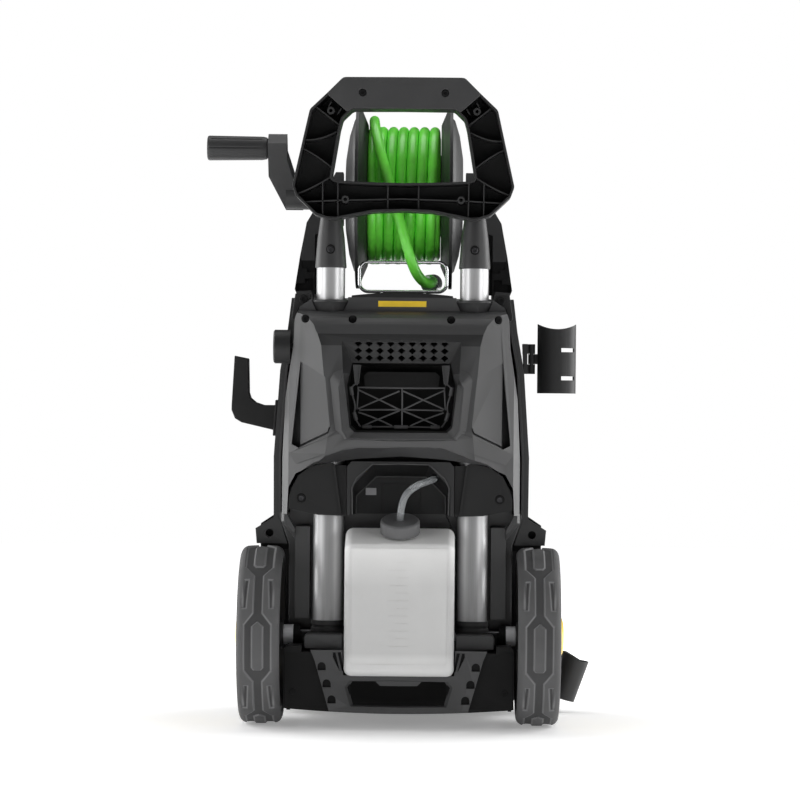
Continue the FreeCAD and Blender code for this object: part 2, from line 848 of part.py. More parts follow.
def grip(screws):
    """Moulded loop, open at its rear, with ribs inside; a strip covers the rear of its top bar."""
    rear = y_behind("grip_rear")
    front = y_at("grip_front")
    outline = mirrored([(across.replace("sleeve_x_half", "tube_x"), up)
                        for across, up in grip_outline("0")])
    loop = prism("grip_loop", "Y", outline, rear, front)
    pocket(loop, "Y", mirrored(window_outline("0")), f"{rear} - 1", f"{front} + 1")
    round_edges(loop, "grip_round", lambda edge: abs(edge.CenterOfMass.y - value(front)) < 0.01)
    inner = [(across.replace("sleeve_x_half", "tube_x"), up) for across, up in grip_outline("grip_wall")]
    hollow = prism("grip_hollow_block", "Y", mirrored(inner), f"{rear} - 1", f"{front} - grip_wall")
    pocket(hollow, "Y", mirrored(window_outline("grip_wall")), f"{rear} - 2", f"{front} - grip_wall + 1")
    shell = carve("grip_shell", loop, [hollow])
    ribs = []
    depth = (f"{rear} + 8", f"{front} - grip_wall + 0.5")
    for number, across in enumerate((-86, -48, -18, 18, 48, 86)):
        ribs.append(block(f"sill_rib_{number}", f"{across} - grip_rib / 2", f"{across} + grip_rib / 2",
                          *depth, "grip_heel + 5", "window_sill - 1"))
    for word, side in SIDES:
        for number, up in enumerate((640, 658, 676)):
            low, high = span(side, "window_cheek_half + 4", "grip_side_half + 4")
            ribs.append(block(f"leg_rib_{word}_{number}", low, high, *depth,
                              f"{up} - grip_rib / 2", f"{up} + grip_rib / 2"))
    raw = join("grip_ribs", ribs)
    kept = shared("grip_ribs_kept", [raw, prism("grip_rib_room", "Y", mirrored(
        [(across.replace("sleeve_x_half", "tube_x"), up) for across, up in grip_outline("1.5")]),
        f"{rear}", front)])
    cleared = carve("grip_ribs_cleared", kept, [prism("grip_window_room", "Y", mirrored(
        window_outline("1.5")), f"{rear} - 1", f"{front} + 1")])
    node("handle_grip", join("handle_grip", [shell, cleared]))

    cover = prism("grip_strip", "Y", mirrored([
        ("grip_cover_half - 17", "grip_top - grip_wall - 0.3"),
        ("grip_cover_half", "grip_cheek - grip_wall - 1"),
        ("window_top_half + 6", "window_top + grip_wall + 0.3"),
        ]), rear, f"{rear} + grip_cover_thick")
    holes = []
    for word, side in SIDES:
        centre = (f"{side} * (grip_cover_half - 34)", "(grip_top + window_top) / 2")
        holes.append(rod("grip_screw_hole_" + word, "Y", centre, "screw_radius + turn_gap",
                         f"{rear} - 1", f"{rear} + screw_head"))
        screws.append(rod("grip_screw_" + word, "Y", centre, "screw_radius",
                          f"{rear} + 0.5", f"{rear} + screw_head"))
    node("grip_rear_cover", carve("grip_rear_cover", cover, holes))
    node("handle_screws", join("handle_screws", screws))


# Upper rear cover with its storage recess

def cover_silhouette(inset):
    """Outline of the rear cover seen from behind, drawn in by inset; its arch spans the clamps."""
    return mirrored([("0", f"cover_top - {inset}"), (f"cover_top_half - {inset}", f"cover_top - {inset}"),
                     (f"cover_ear_half - {inset}", f"cover_ear - {inset} / 2"),
                     (f"cover_neck_half - {inset}", "cover_neck"), (f"cover_chest_half - {inset}", "cover_chest"),
                     (f"cover_waist_half - {inset}", "cover_waist"), (f"cover_hip_half - {inset}", "cover_hip"),
                     (f"cover_hip_half - {inset}", f"cover_foot + {inset}"),
                     (f"cover_leg_half + {inset} / 4", f"cover_foot + {inset}"),
                     (f"cover_leg_half + {inset} / 4", "arch_leg"),
                     ("arch_side_half + 23", f"arch_side - 12 + {inset}"),
                     ("arch_side_half", f"arch_side + {inset}"), ("40", f"cover_arch + {inset}"),
                     ("0", f"cover_arch + {inset}")])


def cover_profile(inset):
    """Side profile of the rear cover as (y, z), drawn in by inset."""
    front = y_at("split") + (" + 1" if inset != "0" else "")
    return [(front, f"cover_top - {inset}"), (y_behind(f"band_rear - {inset}"), f"cover_top - {inset}"),
            (y_behind(f"band_rear - {inset}"), f"band_foot - {inset} / 2"),
            (y_behind(f"brow_rear - {inset}"), f"brow - {inset} / 2"),
            (y_behind(f"cover_rear - {inset}"), "cover_rear_top"),
            (y_behind(f"cover_belly_rear - {inset}"), "cover_belly"),
            (y_behind(f"cover_leg_rear - {inset}"), f"cover_foot + {inset}"), (front, f"cover_foot + {inset}")]


def cover_plan(inset):
    """Plan outline of the rear cover: a flat rear face with a facet at each side."""
    front = y_at("split") + (" + 1" if inset != "0" else "")
    return mirrored([("facet_half", y_behind(f"cover_belly_rear + 1 - {inset}")),
                     (f"facet_side - {inset}", y_behind(f"facet_depth - {inset} / 2")),
                     (f"cover_hip_half + 1 - {inset}", y_at("0")), (f"cover_hip_half + 1 - {inset}", front)])


def recess_outline(outset):
    """Inner outline of the storage recess."""
    return rectangle(f"-(recess_half + {outset})", f"recess_half + {outset}",
                     f"recess_foot + recess_inset - {outset}", f"recess_top - recess_inset + {outset}")


def rear_cover():
    """Faceted shell over the handle tubes with a deep recess between them."""
    def layer(name, inset):
        return shared(name, [
            prism(name + "_silhouette", "Y", cover_silhouette(inset), y_behind("70"), y_at("split + 2")),
            prism(name + "_profile", "X", cover_profile(inset), "-140", "140"),
            prism(name + "_plan", "Z", cover_plan(inset), "cover_foot - 2", "cover_top + 2")])
    outer = layer("cover_outer", "0")
    trimmed = carve("cover_trimmed", outer, [block("cover_front_trim", "-150", "150", y_at("split"),
                                                   y_at("split + 5"), "200", "500")])
    inner = layer("cover_inner", "cover_wall")
    shell = carve("cover_shell", trimmed, [inner])
    mouth = y_behind("cover_belly_rear + 2")
    lip = y_behind("recess_lip")
    tub_floor = y_at("recess_floor")
    tub = prism("recess_tub", "Y", recess_outline("cover_wall"), f"{y_behind('cover_rear - cover_wall')}",
                f"{tub_floor} + cover_wall")
    rest = block("recess_rest", "-rest_half", "rest_half", f"{tub_floor} - 18", tub_floor,
                 "rest_low", "rest_high")
    cavity = carve("recess_cavity", prism("recess_cavity_block", "Y", recess_outline("0"), mouth, tub_floor),
                   [rest])
    flare = doc.addObject("Part::Loft", "recess_flare")
    flare.Sections = [flare_section("recess_mouth_sketch", mouth, 1), flare_section("recess_lip_sketch", lip, 0)]
    flare.Solid = True
    flare.Ruled = True
    tools = [cavity, flare]
    for word, side in SIDES:
        centre = (f"{side} * tube_x", "axle_y")
        top = "lower_tube_top + collar_lip"
        tools.append(rod("collar_hole_" + word, "Z", centre, "collar_neck + turn_gap",
                         f"{top} - collar_height - 13.2", f"{top} + 10"))
        tools.append(rod("collar_seat_" + word, "Z", centre, "collar_radius + turn_gap",
                         f"{top} - collar_height - 0.05", f"{top} + 10"))
        tools.append(rod("lower_tube_hole_" + word, "Z", centre, "tube_radius + slide_gap",
                         "cover_foot - 1", f"{top} - collar_height"))
    knob_hole = rod("knob_hole", "X", (y_at("knob_y"), "knob_z"), "knob_shaft + 1", "-140", "-100")
    tools.append(knob_hole)
    body = join("cover_body", [shell, tub])
    node("rear_cover", carve("rear_cover", body, tools))


def flare_section(name, depth, mouth):
    """One end of the recess's flared mouth."""
    sketch = doc.addObject("Sketcher::SketchObject", name)
    sketch.Placement = FreeCAD.Placement(V(0, 0, 0), FreeCAD.Rotation(V(1, 0, 0), 90))
    sketch.setExpression("Placement.Base.y", linked(depth))
    if mouth:
        corners = mirrored([("recess_mouth_half", "recess_top"), ("recess_mouth_foot_half", "recess_foot")])
    else:
        corners = mirrored([("recess_half", "recess_top - recess_inset"),
                            ("recess_half", "recess_foot + recess_inset")])
    draw_outline(sketch, corners)
    return sketch


def vent_grille():
    """Plate with rows of small diamond holes at the top of the recess."""
    rear = y_behind("recess_lip")
    plate = prism("vent_grille", "Y", rectangle("-(recess_half - 0.3)", "recess_half - 0.3", "vent_low",
                                                "recess_top - recess_inset - 0.3"),
                  rear, f"{rear} + vent_thick")
    start = f"-vent_pitch * {(VENT_COLUMNS - 1) / 2}"
    sketch = sketch_on(plate, "Y", out=f"-({rear} - 1)")
    for row_number in range(2):
        middle = f"vent_low + 7 + vent_rise * {row_number}"
        draw_outline(sketch, [(f"{start} - vent_hole", middle), (start, f"{middle} - vent_hole * 0.8"),
                              (f"{start} + vent_hole", middle), (start, f"{middle} + vent_hole * 0.8")])
    hole = plate.newObject("PartDesign::Pocket", "Holes")
    hole.Profile = sketch
    hole.setExpression("Length", linked("vent_thick + 2"))
    doc.recompute()
    row = plate.newObject("PartDesign::LinearPattern", "Columns")
    row.Originals = [hole]
    row.Direction = (sketch, ["H_Axis"])
    row.setExpression("Length", linked(f"vent_pitch * {VENT_COLUMNS - 1}"))
    row.Occurrences = VENT_COLUMNS
    plate.Tip = row
    node("vent_grille", plate)


def storage_net():
    """Elastic net across the lower part of the recess: bands, a middle cord and crossed cords."""
    low_y = y_behind("recess_lip - 1")
    high_y = f"{low_y} + net_cord"
    half = "recess_half - 0.3"
    bands = []
    for number, up in enumerate((NET_FOOT, "net_top - net_height / 2 - net_cord / 2", "net_top - net_cord")):
        bands.append(block(f"net_band_{number}", f"-({half})", half, low_y, high_y, up, f"{up} + net_cord"))
    for number, across in enumerate(("-net_half", "0", "net_half")):
        bands.append(block(f"net_post_{number}", f"{across} - net_cord / 2", f"{across} + net_cord / 2",
                           low_y, high_y, NET_FOOT, "net_top"))
    for number, side in ((0, -1), (1, 1)):
        for step, (start, end) in enumerate(((NET_FOOT, "net_top - net_cord"),
                                             ("net_top - net_cord", NET_FOOT))):
            corners = sided(side, [("0", start), ("net_half", end), ("net_half", f"{end} + net_cord"),
                                   ("0", f"{start} + net_cord")])
            bands.append(prism(f"net_cross_{number}_{step}", "Y", corners, low_y, high_y))
    node("storage_net", join("storage_net", bands))


# Tube clamps, bottle hood and lower rear panel

def tube_clamps():
    """Housings around the outer tubes under the cover's arch, with a screw each."""
    rear = y_behind("clamp_rear")
    front = y_at("split - panel_thick")
    clamps = []
    screws = []
    for word, side in SIDES:
        outline = sided(side, [("clamp_inner", "cover_foot"), ("clamp_outer", "cover_foot"),
                               ("clamp_outer", "arch_leg - 1"), ("arch_side_half + 21", "arch_side - 14"),
                               ("arch_side_half", "clamp_top - 1.5"), ("clamp_inner", "clamp_top - 1.5")])
        body = prism("clamp_block_" + word, "Y", outline, rear, front)
        hollow = sided(side, [("clamp_inner + clamp_wall + 1.5", "cover_foot + clamp_wall"),
                              ("clamp_outer - clamp_wall", "cover_foot + clamp_wall"),
                              ("clamp_outer - clamp_wall", "arch_leg - 5"),
                              ("arch_side_half", "clamp_top - clamp_wall - 3"),
                              ("clamp_inner + clamp_wall + 1", "clamp_top - clamp_wall - 3")])
        pocket(body, "Y", hollow, f"{rear} + clamp_wall", f"{front} + 1")
        centre = (f"{side} * tube_x", "axle_y")
        boss = rod("clamp_boss_" + word, "Z", centre, "tube_radius + clamp_wall", "cover_foot", "clamp_top - 4")
        grown = join("clamp_grown_" + word, [body, boss])
        bore = rod("clamp_bore_" + word, "Z", centre, "tube_radius + turn_gap", "cover_foot - 1", "clamp_top + 1")
        centre = (f"{side} * (clamp_outer - 12)", "cover_foot + 21")
        seat = rod("clamp_seat_" + word, "Y", centre, "screw_radius + turn_gap", f"{rear} - 1",
                   f"{rear} + screw_head - 0.5")
        clamps.append(carve("tube_clamp_" + word, grown, [bore, seat]))
        screws.append(rod("clamp_screw_" + word, "Y", centre, "screw_radius", f"{rear} - 0.3",
                          f"{rear} + screw_head - 0.5"))
    node("tube_clamps", join("tube_clamps", clamps))
    node("clamp_screws", join("clamp_screws", screws))


def hood_section(name, depth, half, knee, top_half, top):
    """One end of the hood's arched recess."""
    sketch = doc.addObject("Sketcher::SketchObject", name)
    sketch.Placement = FreeCAD.Placement(V(0, 0, 0), FreeCAD.Rotation(V(1, 0, 0), 90))
    sketch.setExpression("Placement.Base.y", linked(depth))
    draw_outline(sketch, mirrored([(top_half, top), (half, knee), (half, "cover_foot - 1")]))
    return sketch


def bottle_hood():
    """Arched hood over the bottle's cap, between the clamps, with its plate and sticker."""
    rear = y_behind("clamp_rear")
    front = y_at("split - panel_thick")
    back = f"{front} - 2"
    outline = mirrored([("clamp_inner - 5", "arch_side + 3"), ("clamp_inner - 0.2", "clamp_top - 1.5"),
                        ("clamp_inner - 0.2", "cover_foot")])
    outer = prism("hood_block", "Y", outline, rear, front)
    recess = doc.addObject("Part::Loft", "hood_recess")
    recess.Sections = [
        hood_section("hood_mouth", f"{rear} - 0.01", "hood_mouth_half", "hood_mouth_knee",
                     "hood_mouth_top_half", "hood_mouth_top"),
        hood_section("hood_back", back, "hood_back_half", "hood_back_knee",
                     "hood_back_top_half", "hood_back_top")]
    recess.Solid = True
    recess.Ruled = True
    hole = rod("suction_hole", "Y", ("suction_x", "suction_z"), "suction_radius + 0.8", f"{rear} - 1",
               f"{front} + 1")
    node("bottle_hood", carve("bottle_hood", outer, [recess, hole]))
    node("rating_plate", block("rating_plate", "-plate_half", "plate_half", f"{back} - plate_thick", back,
                               "plate_low", "plate_high"))
    band = y_behind("band_rear")
    labels = [block("hood_label", "-(sticker_x + sticker_half)", "-(sticker_x - sticker_half)",
                    f"{back} - plate_thick", back, "sticker_low", "sticker_high"),
              block("cover_label", "-strip_half", "strip_half", f"{band} - plate_thick", band,
                    "strip_low", "strip_high")]
    node("yellow_labels", join("yellow_labels", labels))


def lower_rear_panel():
    """Flat wall behind the bottle and tubes, with a pilaster at each side."""
    half = "shell_foot_half"
    outline = mirrored([(half, "shelf_height"), (half, "shell_knee"), ("shell_hip_half - 2", PANEL_FLARE),
                        ("shell_hip_half - 2", "cover_foot"), ("clamp_outer - 1", "cover_foot"),
                        ("clamp_outer - 1", "arch_leg"), ("arch_side_half", "arch_side - 0.3"),
                        ("40", "cover_arch - 0.3")])
    panel = prism("panel_plate", "Y", outline, y_at("split - panel_thick"), y_at("split"))
    parts = [panel]
    for word, side in SIDES:
        low, high = span(side, "pilaster_inner", "pilaster_outer")
        parts.append(block("pilaster_" + word, low, high, y_at("split - panel_thick - pilaster_depth"),
                           y_at("split - panel_thick + 1"), "socket_top + 0.5", "pilaster_top"))
    joined = join("panel_body", parts)
    hole = rod("panel_suction_hole", "Y", ("suction_x", "suction_z"), "suction_radius + 0.4",
               y_at("split - panel_thick - 1"), y_at("split + 1"))
    node("lower_rear_panel", carve("lower_rear_panel", joined, [hole]))


# Front shell and side plates

SHELL_LEVELS = [
    ("shelf_height", "shell_foot_half", "front_foot"),
    ("shell_knee", "shell_foot_half + 1", "front_foot"),
    (FLARE_TOP, "shell_hip_half", "front_foot - 3"),
    ("shell_belly", "shell_belly_half", "front_belly"),
    ("shell_chest", "shell_chest_half", "front_chest"),
    (SHELL_SHOULDER, "shell_shoulder_half", "front_top + 5"),
    ("cover_top", "shell_top_half", "front_top"),
]


def shell_section(name, level, half, front, inset):
    """Plan outline of the front shell at one level, drawn in by inset."""
    sketch = doc.addObject("Sketcher::SketchObject", name)
    sketch.setExpression("Placement.Base.z", linked(level))
    draw_outline(sketch, mirrored([
        (f"{half} - {inset}", y_at(f"split - {inset} / 3")),
        (f"{half} - {inset}", y_at(f"{front} - front_flank")),
        (f"{half} - front_cheek_in - {inset} * 0.8", y_at(f"{front} - front_cheek - {inset} * 0.5")),
        (f"{half} - front_nose_in - {inset} * 0.4", y_at(f"{front} - {inset}"))]))
    return sketch


def shell_body(name, inset):
    """Tapering solid through the shell's levels."""
    loft = doc.addObject("Part::Loft", name)
    sections = []
    for number, (level, half, front) in enumerate(SHELL_LEVELS):
        if inset != "0" and number == 0:
            level = f"{level} - 1"
        if inset != "0" and number == len(SHELL_LEVELS) - 1:
            level = f"{level} - {inset}"
        sections.append(shell_section(f"{name}_{number}", level, half, front, inset))
    loft.Sections = sections
    loft.Solid = True
    loft.Ruled = True
    return loft


def front_shell():
    """Front half of the housing, open at the rear and below."""
    outer = shell_body("shell_outer", "0")
    inner = shell_body("shell_inner", "shell_wall")
    tools = [inner]
    tools.append(rod("inlet_hole", "Y", ("inlet_x", "inlet_z"), "inlet_radius + 2", y_at("150"), y_at("230")))
    tools.append(rod("gland_hole", "X", (y_at("gland_y"), "gland_z"), "gland_radius - 3", "-140", "-60"))
    for number in range(6):
        low = f"{250 + 14 * number}"
        tools.append(block(f"air_slot_{number}", "-40", "40", y_at("150"), y_at("230"), low, f"{low} + 5"))
    feed = ("tower_inner + feed_in", y_at("reel_y"))
    tools.append(rod("feed_hole", "Z", feed, "feed_radius + 1", "cover_top - 10", "cover_top + 5"))
    node("front_shell", carve("front_shell", outer, tools))


def side_plates():
    """Black trim down each side of the front shell, ending in an ear with a screw hole."""
    plates = []
    for word, side in SIDES:
        outer = [("shell_top_half + side_plate", "cover_top"), ("shell_shoulder_half + side_plate", SHELL_SHOULDER),
                 ("shell_chest_half + side_plate", "shell_chest"), ("shell_belly_half + side_plate", "shell_belly"),
                 ("shell_hip_half + side_plate", FLARE_TOP),
                 ("shell_hip_half + side_plate", "ear_foot"), ("shell_foot_half + 2.7", "ear_foot")]
        inner = [("shell_hip_half", FLARE_TOP), ("shell_belly_half", "shell_belly"),
                 ("shell_chest_half", "shell_chest"), ("shell_shoulder_half", SHELL_SHOULDER),
                 ("shell_top_half", "cover_top")]
        trim = prism("side_trim_" + word, "Y", sided(side, outer + inner), y_at("split"), y_at("split + plate_front"))
        ear = prism("ear_" + word, "Y", sided(side, [
            ("shell_hip_half - 1", "ear_foot"), (f"{EAR_HALF} - 1.5", "ear_foot"), (EAR_HALF, "ear_top"),
            ("shell_hip_half + side_plate - 1", PANEL_FLARE)]), y_at("split"), y_at("split + ear_thick"))
        hole = rod("ear_hole_" + word, "Y", (f"{side} * ({EAR_HALF} - ear_hole_in)", "ear_hole_z"), "ear_hole_radius",
                   y_at("split - 1"), y_at("split + plate_front + 1"))
        joined = join("side_plate_body_" + word, [trim, ear])
        plates.append(carve("side_plate_" + word, joined, [hole]))
    node("side_plates", join("side_plates", plates))


# Hose reel

def towers():
    """Two hollow-footed brackets that carry the reel's shaft."""
    inner = "hub_cover_x + tower_gap"
    brackets = []
    for word, side in SIDES:
        face = prism("tower_face_" + word, "Y", sided(side, [
            ("tower_inner", "cover_top"), ("shell_top_half", "cover_top"), ("tower_hip_half", "tower_hip"),
            ("tower_knee_half", "tower_knee"), ("tower_elbow_half", "tower_elbow"),
            ("tower_shoulder_half", "tower_shoulder"), ("tower_tip", "tower_top"), (inner, "tower_top"),
            (inner, "tower_elbow"), ("tower_inner", "tower_inner_top")]), y_at("60"), y_at("200"))
        profile = [(y_at("reel_y - tower_foot_depth / 2"), "cover_top"),
                   (y_at("reel_y + tower_foot_depth / 2"), "cover_top"),
                   (y_at("reel_y + tower_waist_depth / 2"), "tower_inner_top"),
                   (y_at("reel_y + tower_waist_depth / 2 - 4"), "reel_z"),
                   (y_at("reel_y + tower_top_depth / 2"), "tower_top"),
                   (y_at("reel_y - tower_top_depth / 2"), "tower_top"),
                   (y_at("reel_y - tower_waist_depth / 2 + 4"), "reel_z"),
                   (y_at("reel_y - tower_waist_depth / 2"), "tower_inner_top")]
        flank = prism("tower_flank_" + word, "X", profile, "-140", "140")
        solid = shared("tower_solid_" + word, [face, flank])
        window = prism("tower_window_" + word, "Y", sided(side, [
            ("tower_inner + tower_window_in", "tower_window_low"),
            ("tower_hip_half - tower_window_in - 1", "tower_window_low"),
            ("tower_knee_half - tower_window_in", "tower_window_high"),
            ("tower_inner + tower_window_in", "tower_window_high")]), y_at("reel_y - 32"), y_at("reel_y + 83"))
        bearing = rod("bearing_" + word, "X", (y_at("reel_y"), "reel_z"), "shaft_radius + turn_gap",
                      "-140", "140")
        tools = [window, bearing]
        if side > 0:
            tools.append(rod("feed_way", "Z", ("tower_inner + feed_in", y_at("reel_y")), "feed_radius + 1",
                             "cover_top - 1", "tower_window_low + 1"))
        brackets.append(carve("reel_tower_" + word, solid, tools))
    node("reel_towers", join("reel_towers", brackets))


DRUM_RADIUS = f"coil_radius - coil_gap - hose_diameter * {1 + 0.866 * (COIL_LAYERS - 1)}"
COIL_HALF = f"(turn_pitch * {COIL_TURNS - 1} + hose_diameter) / 2"


def reel():
    """Drum on its shaft between two dished flanges, each with a domed hub cover."""
    centre = (y_at("reel_y"), "reel_z")
    inner = f"{COIL_HALF} + coil_gap"
    rim = "flange_rim_x"
    profile = [(f"-({inner})", f"{DRUM_RADIUS} - drum_wall"), (inner, f"{DRUM_RADIUS} - drum_wall"),
               (inner, DRUM_RADIUS), (f"-({inner})", DRUM_RADIUS)]
    node("reel_drum", turned("reel_drum", "X", centre, profile))
    shaft_end = "crank_hub_x + crank_hub_long - 2"
    node("reel_shaft", rod("reel_shaft", "X", centre, "shaft_radius", f"-({shaft_end})",
                           "tower_shoulder_half + 6"))
    flanges = []
    covers = []
    for word, side in SIDES:
        face = f"{inner} + flange_thick"
        profile = [(inner, "shaft_radius"), (inner, "coil_radius + 2"),
                   (rim, "flange_radius - flange_rim"), (rim, "flange_radius"),
                   (f"{rim} + flange_rim", "flange_radius"), (f"{rim} + flange_rim", "flange_radius - flange_rim"),
                   (face, "coil_radius + 2"), (face, "shaft_radius")]
        flanges.append(turned("reel_flange_" + word, "X", centre, sided(side, profile)))
        shell = "hub_cover_x - flange_thick"
        profile = [(face, "coil_radius - 0.5"), (face, "coil_radius - 4"),
                   (f"{shell} - 12", "hub_cover_radius - 4.5"), (f"{shell} - 9", "hub_cover_radius - 7"),
                   (f"{shell} - 4", "hub_cover_radius - 25"), (shell, "hub_cover_radius - 50"),
                   (shell, "shaft_radius"), ("hub_cover_x", "shaft_radius"),
                   ("hub_cover_x", "hub_cover_radius - 48"), ("hub_cover_x - 4", "hub_cover_radius - 22"),
                   ("hub_cover_x - 9.5", "hub_cover_radius - 4"), ("hub_cover_x - 13.5", "hub_cover_radius")]
        covers.append(turned("reel_hub_cover_" + word, "X", centre, sided(side, profile)))
    node("reel_flanges", join("reel_flanges", flanges))
    node("reel_hub_covers", join("reel_hub_covers", covers))
    node("hose_coil", turned("hose_coil", "X", centre, ring_profile(
        f"-({COIL_HALF})", COIL_HALF, f"{DRUM_RADIUS} + coil_gap", "coil_radius")))


def crank():
    """Crank arm on the left end of the reel shaft, with a free-turning grip on a pin."""
    tilt = FreeCAD.Rotation(V(1, 0, 0), value("crank_angle"))
    hub_far = "crank_hub_x + crank_hub_long"
    arm = prism("crank_web", "Y", [
        (f"-({hub_far} - crank_arm_thick)", "3 - crank_hub_radius"), (f"-({hub_far})", "3 - crank_hub_radius"),
        ("-crank_block_outer", "crank_radius / 2"),
        ("-crank_block_outer", "crank_radius + crank_block_half"),
        ("-crank_block_inner", "crank_radius + crank_block_half"),
        ("-crank_block_inner", "crank_radius - crank_block_half + 4")], "-crank_half", "crank_half")
    hub = rod("crank_hub", "X", ("0", "0"), "crank_hub_radius", f"-({hub_far})", "-crank_hub_x")
    joined = join("crank_joined", [arm, hub])
    holes = [rod("crank_shaft_hole", "X", ("0", "0"), "shaft_radius", f"-({hub_far} - 2)", "-crank_hub_x + 1"),
             rod("crank_pin_hole", "X", ("0", "crank_radius"), "pin_radius", "-crank_block_outer - 1",
                 "-crank_block_inner - 4")]
    bored = carve("crank_bored", joined, holes)
    pin_end = "crank_block_outer + pin_gap + grip_long - 4"
    pin = rod("crank_pin", "X", ("0", "crank_radius"), "pin_radius", f"-({pin_end})", "-crank_block_inner - 4")
    arm_piece = node("crank_arm", join("crank_arm", [bored, pin]))
    near = "crank_block_outer + pin_gap"
    profile = [(near, "pin_radius + turn_gap"), (near, "grip_radius - 0.2"), (f"{near} + 2", "grip_radius - 0.2"),
               (f"{near} + 5", "grip_radius - 1.4"), (f"{near} + grip_long - 2", "grip_radius"),
               (f"{near} + grip_long", "grip_radius - 1.6"), (f"{near} + grip_long", "0"),
               (f"{near} + grip_long - 3", "0"), (f"{near} + grip_long - 3", "pin_radius + turn_gap")]
    grip_piece = node("crank_grip", turned("crank_grip", "X", ("0", "crank_radius"), sided(-1, profile)))
    for thing in (arm_piece, grip_piece):
        place(thing, "0", y_at("reel_y"), "reel_z", tilt)


def reel_swivel():
    """Brass swivel at the right end of the shaft, fed by the high-pressure pipe inside the tower."""
    near = "tower_shoulder_half + 0.5"
    body = turned("swivel_body", "X", (y_at("reel_y"), "reel_z"), ring_profile(
        near, f"{near} + 14", "shaft_radius + turn_gap", "swivel_radius"))
    node("reel_swivel", body)


def route_wire(points):
    """Straight runs joined by the largest tangent arcs that the runs allow."""
    edges = []
    radii = []
    start = points[0]
    for before, corner, after in zip(points, points[1:], points[2:]):
        back = before - corner
        ahead = after - corner
        shorter = min(back.Length, ahead.Length)
        back.normalize()
        ahead.normalize()
        half_turn = (math.pi - back.getAngle(ahead)) / 2
        radius = 0.45 * shorter / math.tan(half_turn)
        reach = radius * math.tan(half_turn)
        arc_start = corner + back * reach
        arc_end = corner + ahead * reach
        inward = back + ahead
        inward.normalize()
        centre = corner + inward * (radius / math.cos(half_turn))
        middle = centre - inward * radius
        edges.append(Part.LineSegment(start, arc_start).toShape())
        edges.append(Part.Arc(arc_start, middle, arc_end).toShape())
        radii.append(round(radius, 1))
        start = arc_end
    edges.append(Part.LineSegment(start, points[-1]).toShape())
    return Part.Wire(edges), radii


def swept(name, points, radius, wall=0):
    """A round tube along a route, checked against its section times its length."""
    wire, radii = route_wire(points)
    direction = points[1] - points[0]
    outer = Part.Wire([Part.Circle(points[0], direction, radius).toShape()])
    solid = wire.makePipeShell([outer], True, False)
    if wall:
        hole = Part.Wire([Part.Circle(points[0], direction, radius - wall).toShape()])
        solid = solid.cut(wire.makePipeShell([hole], True, False))
    area = math.pi * (radius ** 2 - ((radius - wall) ** 2 if wall else 0))
    print(name, "length", round(wire.Length, 1), "radii", radii, "volume ratio",
          round(solid.Volume / (area * wire.Length), 4))
    thing = doc.addObject("Part::Feature", name)
    thing.Shape = solid
    thing.Placement = FreeCAD.Placement()
    return thing


def hose_lead():
    """Loose end of the hose: off the coil, down its rear, through the wire guide and under the reel."""
    reel_y = value(y_at("reel_y"))
    reel_z = value("reel_z")
    axle_y = value("axle_y")
    step = math.radians(28)
    around = (value("coil_radius + hose_diameter / 2") + 0.8) / math.cos(step / 2)
    points = []
    for number, across in enumerate((-36.3, -36, -35, -30, -19)):
        angle = math.radians(58) + step * number
        points.append(V(across, reel_y + around * math.cos(angle), reel_z + around * math.sin(angle)))
    points.append(V(-6, axle_y + 38, 575))
    points.append(V(4, axle_y + 39.5, 540))
    points.append(V(13, axle_y + 49, 512))
    points.append(V(25, axle_y + 69, 498.5))
    points.append(V(30, axle_y + 94, 500))
    node("hose_lead", swept("hose_lead", points, value("hose_diameter / 2")))
    end = points[-1]
    direction = points[-1] - points[-2]
    direction.normalize()
    radius = value("connector_radius")
    length = value("connector_long")
    nut = Part.makeCylinder(radius, length, end, direction)
    neck = Part.makeCylinder(radius - 2, 6, end + direction * length, direction)
    bore = Part.makeCylinder(radius - 5, length / 2 + 6, end + direction * (length / 2 + 1), direction)
    connector = doc.addObject("Part::Feature", "hose_connector")
    connector.Shape = nut.fuse(neck).cut(bore)
    node("hose_connector", connector)


def hose_guide():
    """Closed loop of chrome wire that the hose runs through, on two short posts of the deck."""
    half = value("guide_half")
    corner = value("guide_corner")
    low = value("guide_low")
    high = value("guide_high")
    wire = value("guide_wire")
    depth = value(y_at("guide_y"))
    bend = corner * math.sqrt(0.5)
    edges = []
    for turn in range(4):
        across = half if turn in (0, 3) else -half
        up = high if turn in (0, 1) else low
        to_x = -1 if across > 0 else 1
        to_z = -1 if up > 0.5 * (low + high) else 1
        centre = V(across + to_x * corner, depth, up + to_z * corner)
        side_end = V(across, depth, centre.z)
        level_end = V(centre.x, depth, up)
        middle = centre + V(-to_x * bend, 0, -to_z * bend)
        edges.append(Part.Arc(side_end, middle, level_end).toShape())
    for level in (low, high):
        edges.append(Part.LineSegment(V(-half + corner, depth, level), V(half - corner, depth, level)).toShape())
    for across in (-half, half):
        edges.append(Part.LineSegment(V(across, depth, low + corner), V(across, depth, high - corner)).toShape())
    path = Part.Wire(Part.__sortEdges__(edges))
    start = path.Edges[0]
    origin = start.valueAt(start.FirstParameter)
    section = Part.Wire([Part.Circle(origin, start.tangentAt(start.FirstParameter), wire).toShape()])
    loop = path.makePipeShell([section], True, False)
    deck = value("cover_top")
    posts = [Part.makeCylinder(wire, low - deck, V(across, depth, deck)) for across in (-half / 2, half / 2)]
    guide = doc.addObject("Part::Feature", "hose_guide")
    guide.Shape = loop.fuse(posts)
    node("hose_guide", guide)


# Pieces on the sides

